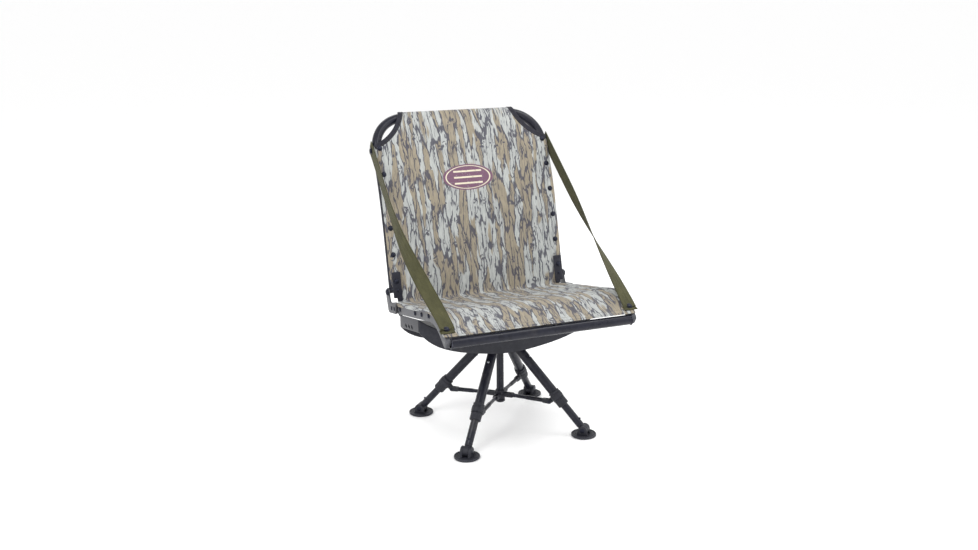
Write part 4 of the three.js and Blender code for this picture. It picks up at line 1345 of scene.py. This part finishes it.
def make_sling():
    stations = sling_stations()
    grid, places = cloth_grid(sling_surface, [sling_row(v) for v in stations], CLOTH)
    made = Shape().add(grid, BARK_CLOTH, coordinates=places).make("sling", CHAIR, 60)
    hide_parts("seat_sling", "back_sling")
    bend_with_back(made)
    area = 0
    for low, high in zip(stations, stations[1:]):
        area += (sling_half(low) + sling_half(high)) * (high - low) / 1e6
    pieces = [make_stitching(), make_binding()]


def make_stitching():
    shape = Shape()
    lift = CLOTH / 2 + 0.12
    for hem in (5, 17):
        stitches(shape, sling_surface, [(u, V_FRONT + hem) for u in range(-232, 233, 8)], THREAD, lift)
    stitches(shape, sling_surface, [(u, TOP_END - 6) for u in range(-144, 145, 8)], THREAD, lift)
    for side in (-1, 1):
        for u, low, high in ((226, int(V_FRONT) + 22, -64), (222, 8, int(CUT_START) - 6)):
            seam = [(side * u, v) for v in range(low, high, 8)]
            stitches(shape, sling_surface, seam, THREAD, lift)
    return bend_with_back(shape.make("sling_stitching", CHAIR))


def make_binding():
    """Black tape folded over the cloth's edge, round the hollow corner and over the top tube."""
    shape = Shape()
    inner = CUT_X - CUT_RADIUS
    start = degrees(atan2(-sqrt(CUT_RADIUS ** 2 - (CUT_X - SIDE_EDGE) ** 2), SIDE_EDGE - CUT_X)) % 360
    path = []
    for spot in arc((CUT_X, CUT_S), CUT_RADIUS, start, 180, 44):
        path.append((spot, (spot - Vector((CUT_X, CUT_S))).normalized()))
    path += [(Vector((inner, CUT_S + (TOP_END - CUT_S) * k / 14)), Vector((-1, 0))) for k in range(1, 15)]
    profile = rounded([(-0.8, -1.9), (BINDING, -1.4), (BINDING, 1.4), (-0.8, 1.9)], 1.2, closed=True, steps=3)
    for side in (-1, 1):
        rings = []
        for spot, inward in path:
            ring = []
            for across, lift in profile:
                place = spot + inward * across
                u, v = place.x * side, place.y
                ring.append(back_surface(u, v) + surface_normal(back_surface, u, v) * lift)
            rings.append(ring)
        shape.add(skin(rings), TAPE)
        seam = [spot + inward * (BINDING - 2.5) for spot, inward in path]
        stitches(shape, back_surface, [(place.x * side, place.y) for place in seam], THREAD, 1.6)
    return settle(shape.make("corner_binding", CHAIR), "back", "black_plastic")


def make_screws():
    shape = Shape()
    for side in (-1, 1):
        for s in SCREWS:
            lift = 21 if s < PLATE_TO else CLOTH_FRONT + CLOTH / 2 - 0.6
            seat = on_back(side * SCREW_X, s, lift)
            out = on_back(side * SCREW_X, s, lift + 1) - seat
            shape.add(dome(2.4, lift - 8, 5.6, 3.4, 7.2), DARK_STEEL, toward(out, seat))
    settle(shape.make("sling_screws", CHAIR), "back", "dark_steel")


PLATE_INNER, PLATE_OUTER, PLATE_FROM, PLATE_TO = 226.5, 250.5, -18, 52
TONGUE_OUTER, TONGUE_FROM = 240.8, -26


def make_hinge_plate(word, side):
    """A strip on the side tube's front, with a narrow tongue that passes inside the rail's end."""
    shape = Shape()
    corners = [
        (PLATE_INNER, TONGUE_FROM), (TONGUE_OUTER, TONGUE_FROM), (TONGUE_OUTER, PLATE_FROM),
        (PLATE_OUTER, PLATE_FROM), (PLATE_OUTER, PLATE_TO), (PLATE_INNER, PLATE_TO),
    ]
    flat, faces = plate(rounded(corners, 2.5, closed=True, steps=3), 3, 0.6)
    shape.add(([on_back(p.x, p.y, 18 + p.z) for p in flat], faces), PLATE_BLACK)
    middle = (PLATE_INNER + PLATE_OUTER) / 2
    seat = on_back(middle, 2, 21)
    shape.add(dome(2.2, 4, 4.2, 2.0), DARK_STEEL, toward(on_back(middle, 2, 22) - seat, seat))
    settle(shape.make(f"hinge_strap_{word}", on_side(side)), "back", "plate_coat", f"hinge_plate_{word}")


def make_pivot_bolt(word, side):
    shape = Shape()
    seat = 260.9
    shape.add(dome(4, 36, 8.6, 4.6, 10.5), DARK_STEEL, toward((1, 0, 0), (seat, HINGE.y, HINGE.z)))
    shape.add(hexagon(13, 6), DARK_STEEL, toward((-1, 0, 0), (BACK_HALF - TUBE - 1.2, HINGE.y, HINGE.z)))
    settle(shape.make(f"pivot_bolt_{word}", on_side(side)), "seat", "dark_steel", f"back_pivot_bolt_{word}")


# ---------------------------------------------------------------- straps

STRAP_WIDTH, STRAP_THICK, STRAP_ROWS = 36, 1.8, 170
STRAP_TOP_X, STRAP_TOP_S = 258.4, 385
STRAP_FOOT = Vector((244.5, -268, 381))
FOOT_NORMAL = Vector((0, -0.36, 0.93)).normalized()
# How far the middle of each strap hangs off the straight line: the right one is a little loose
STRAP_SLACK = {"left": Vector((0, 0, -3)), "right": Vector((14, 0, -14))}


def strap_line(slack):
    """The strap's middle line, from just above its top bolt to just past its foot bolt."""
    top = on_back(STRAP_TOP_X, STRAP_TOP_S, 0)
    run = (STRAP_FOOT - top).normalized()
    foot_run = Vector((0, -FOOT_NORMAL.z, FOOT_NORMAL.y)).normalized()
    stops = [
        top - run * 6,
        top + run * 11,
        top.lerp(STRAP_FOOT, 0.5) + slack,
        STRAP_FOOT - foot_run * 23 + FOOT_NORMAL * 8,
        STRAP_FOOT,
        STRAP_FOOT + foot_run * 15,
    ]
    return evenly(smooth(stops, 40), STRAP_ROWS), top


def make_strap(word, side):
    line, top = strap_line(STRAP_SLACK[word])
    total = lengths(line)
    sideways = Vector((1, 0, 0))

    def surface(u, v):
        point, along = at_length(line, total, min(max(v, 0), total[-1]))
        t = v / total[-1]
        upright = sideways.cross(along).normalized()
        flat = along.cross(upright).normalized()
        turn = pi / 2 * smoothstep(t, 0.3, 1.04)
        width = upright * cos(turn) + flat * sin(turn)
        return point + width * u

    across = [-18, -17.6, -16.5, -12, -6, 0, 6, 12, 16.5, 17.6, 18]
    rows = [[(u, total[-1] * k / STRAP_ROWS) for u in across] for k in range(STRAP_ROWS + 1)]
    shape = Shape()
    grid, places = cloth_grid(surface, rows, STRAP_THICK)
    shape.add(grid, OLIVE, coordinates=places)
    made = shape.make(f"webbing_{word}", on_side(side), 60)
    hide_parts(f"strap_{word}")
    ends = Shape()
    lift = STRAP_THICK / 2 + 0.1
    for start, end in ((4, 30), (total[-1] - 30, total[-1] - 4)):
        seams = [[(u, start + (end - start) * k / 6) for k in range(7)] for u in (-13, 13)]
        seams += [[(-13 + 26 * k / 6, v) for k in range(7)] for v in (start, end)]
        for seam in seams:
            stitches(ends, surface, seam, OLIVE_THREAD, lift, 3.2, 2.3)
    sewn = ends.make(f"webbing_stitching_{word}", on_side(side))
    start, end = on_side(side) @ STRAP_FOOT, on_side(side) @ top
    for piece in (made, sewn):
        start.lerp(end, 0.12)
        start.lerp(end, 0.97)
        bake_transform(piece)

    bolt = Shape()
    seat = STRAP_TOP_X + STRAP_THICK / 2 + 0.3
    at = toward((1, 0, 0), (seat, top.y, top.z))
    bolt.add(dome(3, seat - BACK_HALF, 7, 3.9, 9.5), DARK_STEEL, at)
    head = bolt.make(f"strap_head_bolt_{word}", on_side(side))
    settle(head, "back", "dark_steel", f"strap_top_bolt_{word}")
    foot = Shape()
    at = toward(FOOT_NORMAL, STRAP_FOOT + FOOT_NORMAL * (STRAP_THICK / 2 + 0.2))
    foot.add(dome(3, 15, 7, 3.9, 9.5), DARK_STEEL, at)
    end = foot.make(f"strap_end_bolt_{word}", on_side(side))
    settle(end, "seat", "dark_steel", f"strap_foot_bolt_{word}")


# ---------------------------------------------------------------- the chair

make_hub()
make_post()
make_bearing()
make_slider()
for leg_number in LEGS:
    make_leg(leg_number)
make_cradle()
make_cross_tubes()
make_back_frame()
make_sling()
make_screws()
for side_word, side_sign in SIDES:
    make_rail(side_word, side_sign)
    make_hinge_plate(side_word, side_sign)
    make_pivot_bolt(side_word, side_sign)
    make_strap(side_word, side_sign)
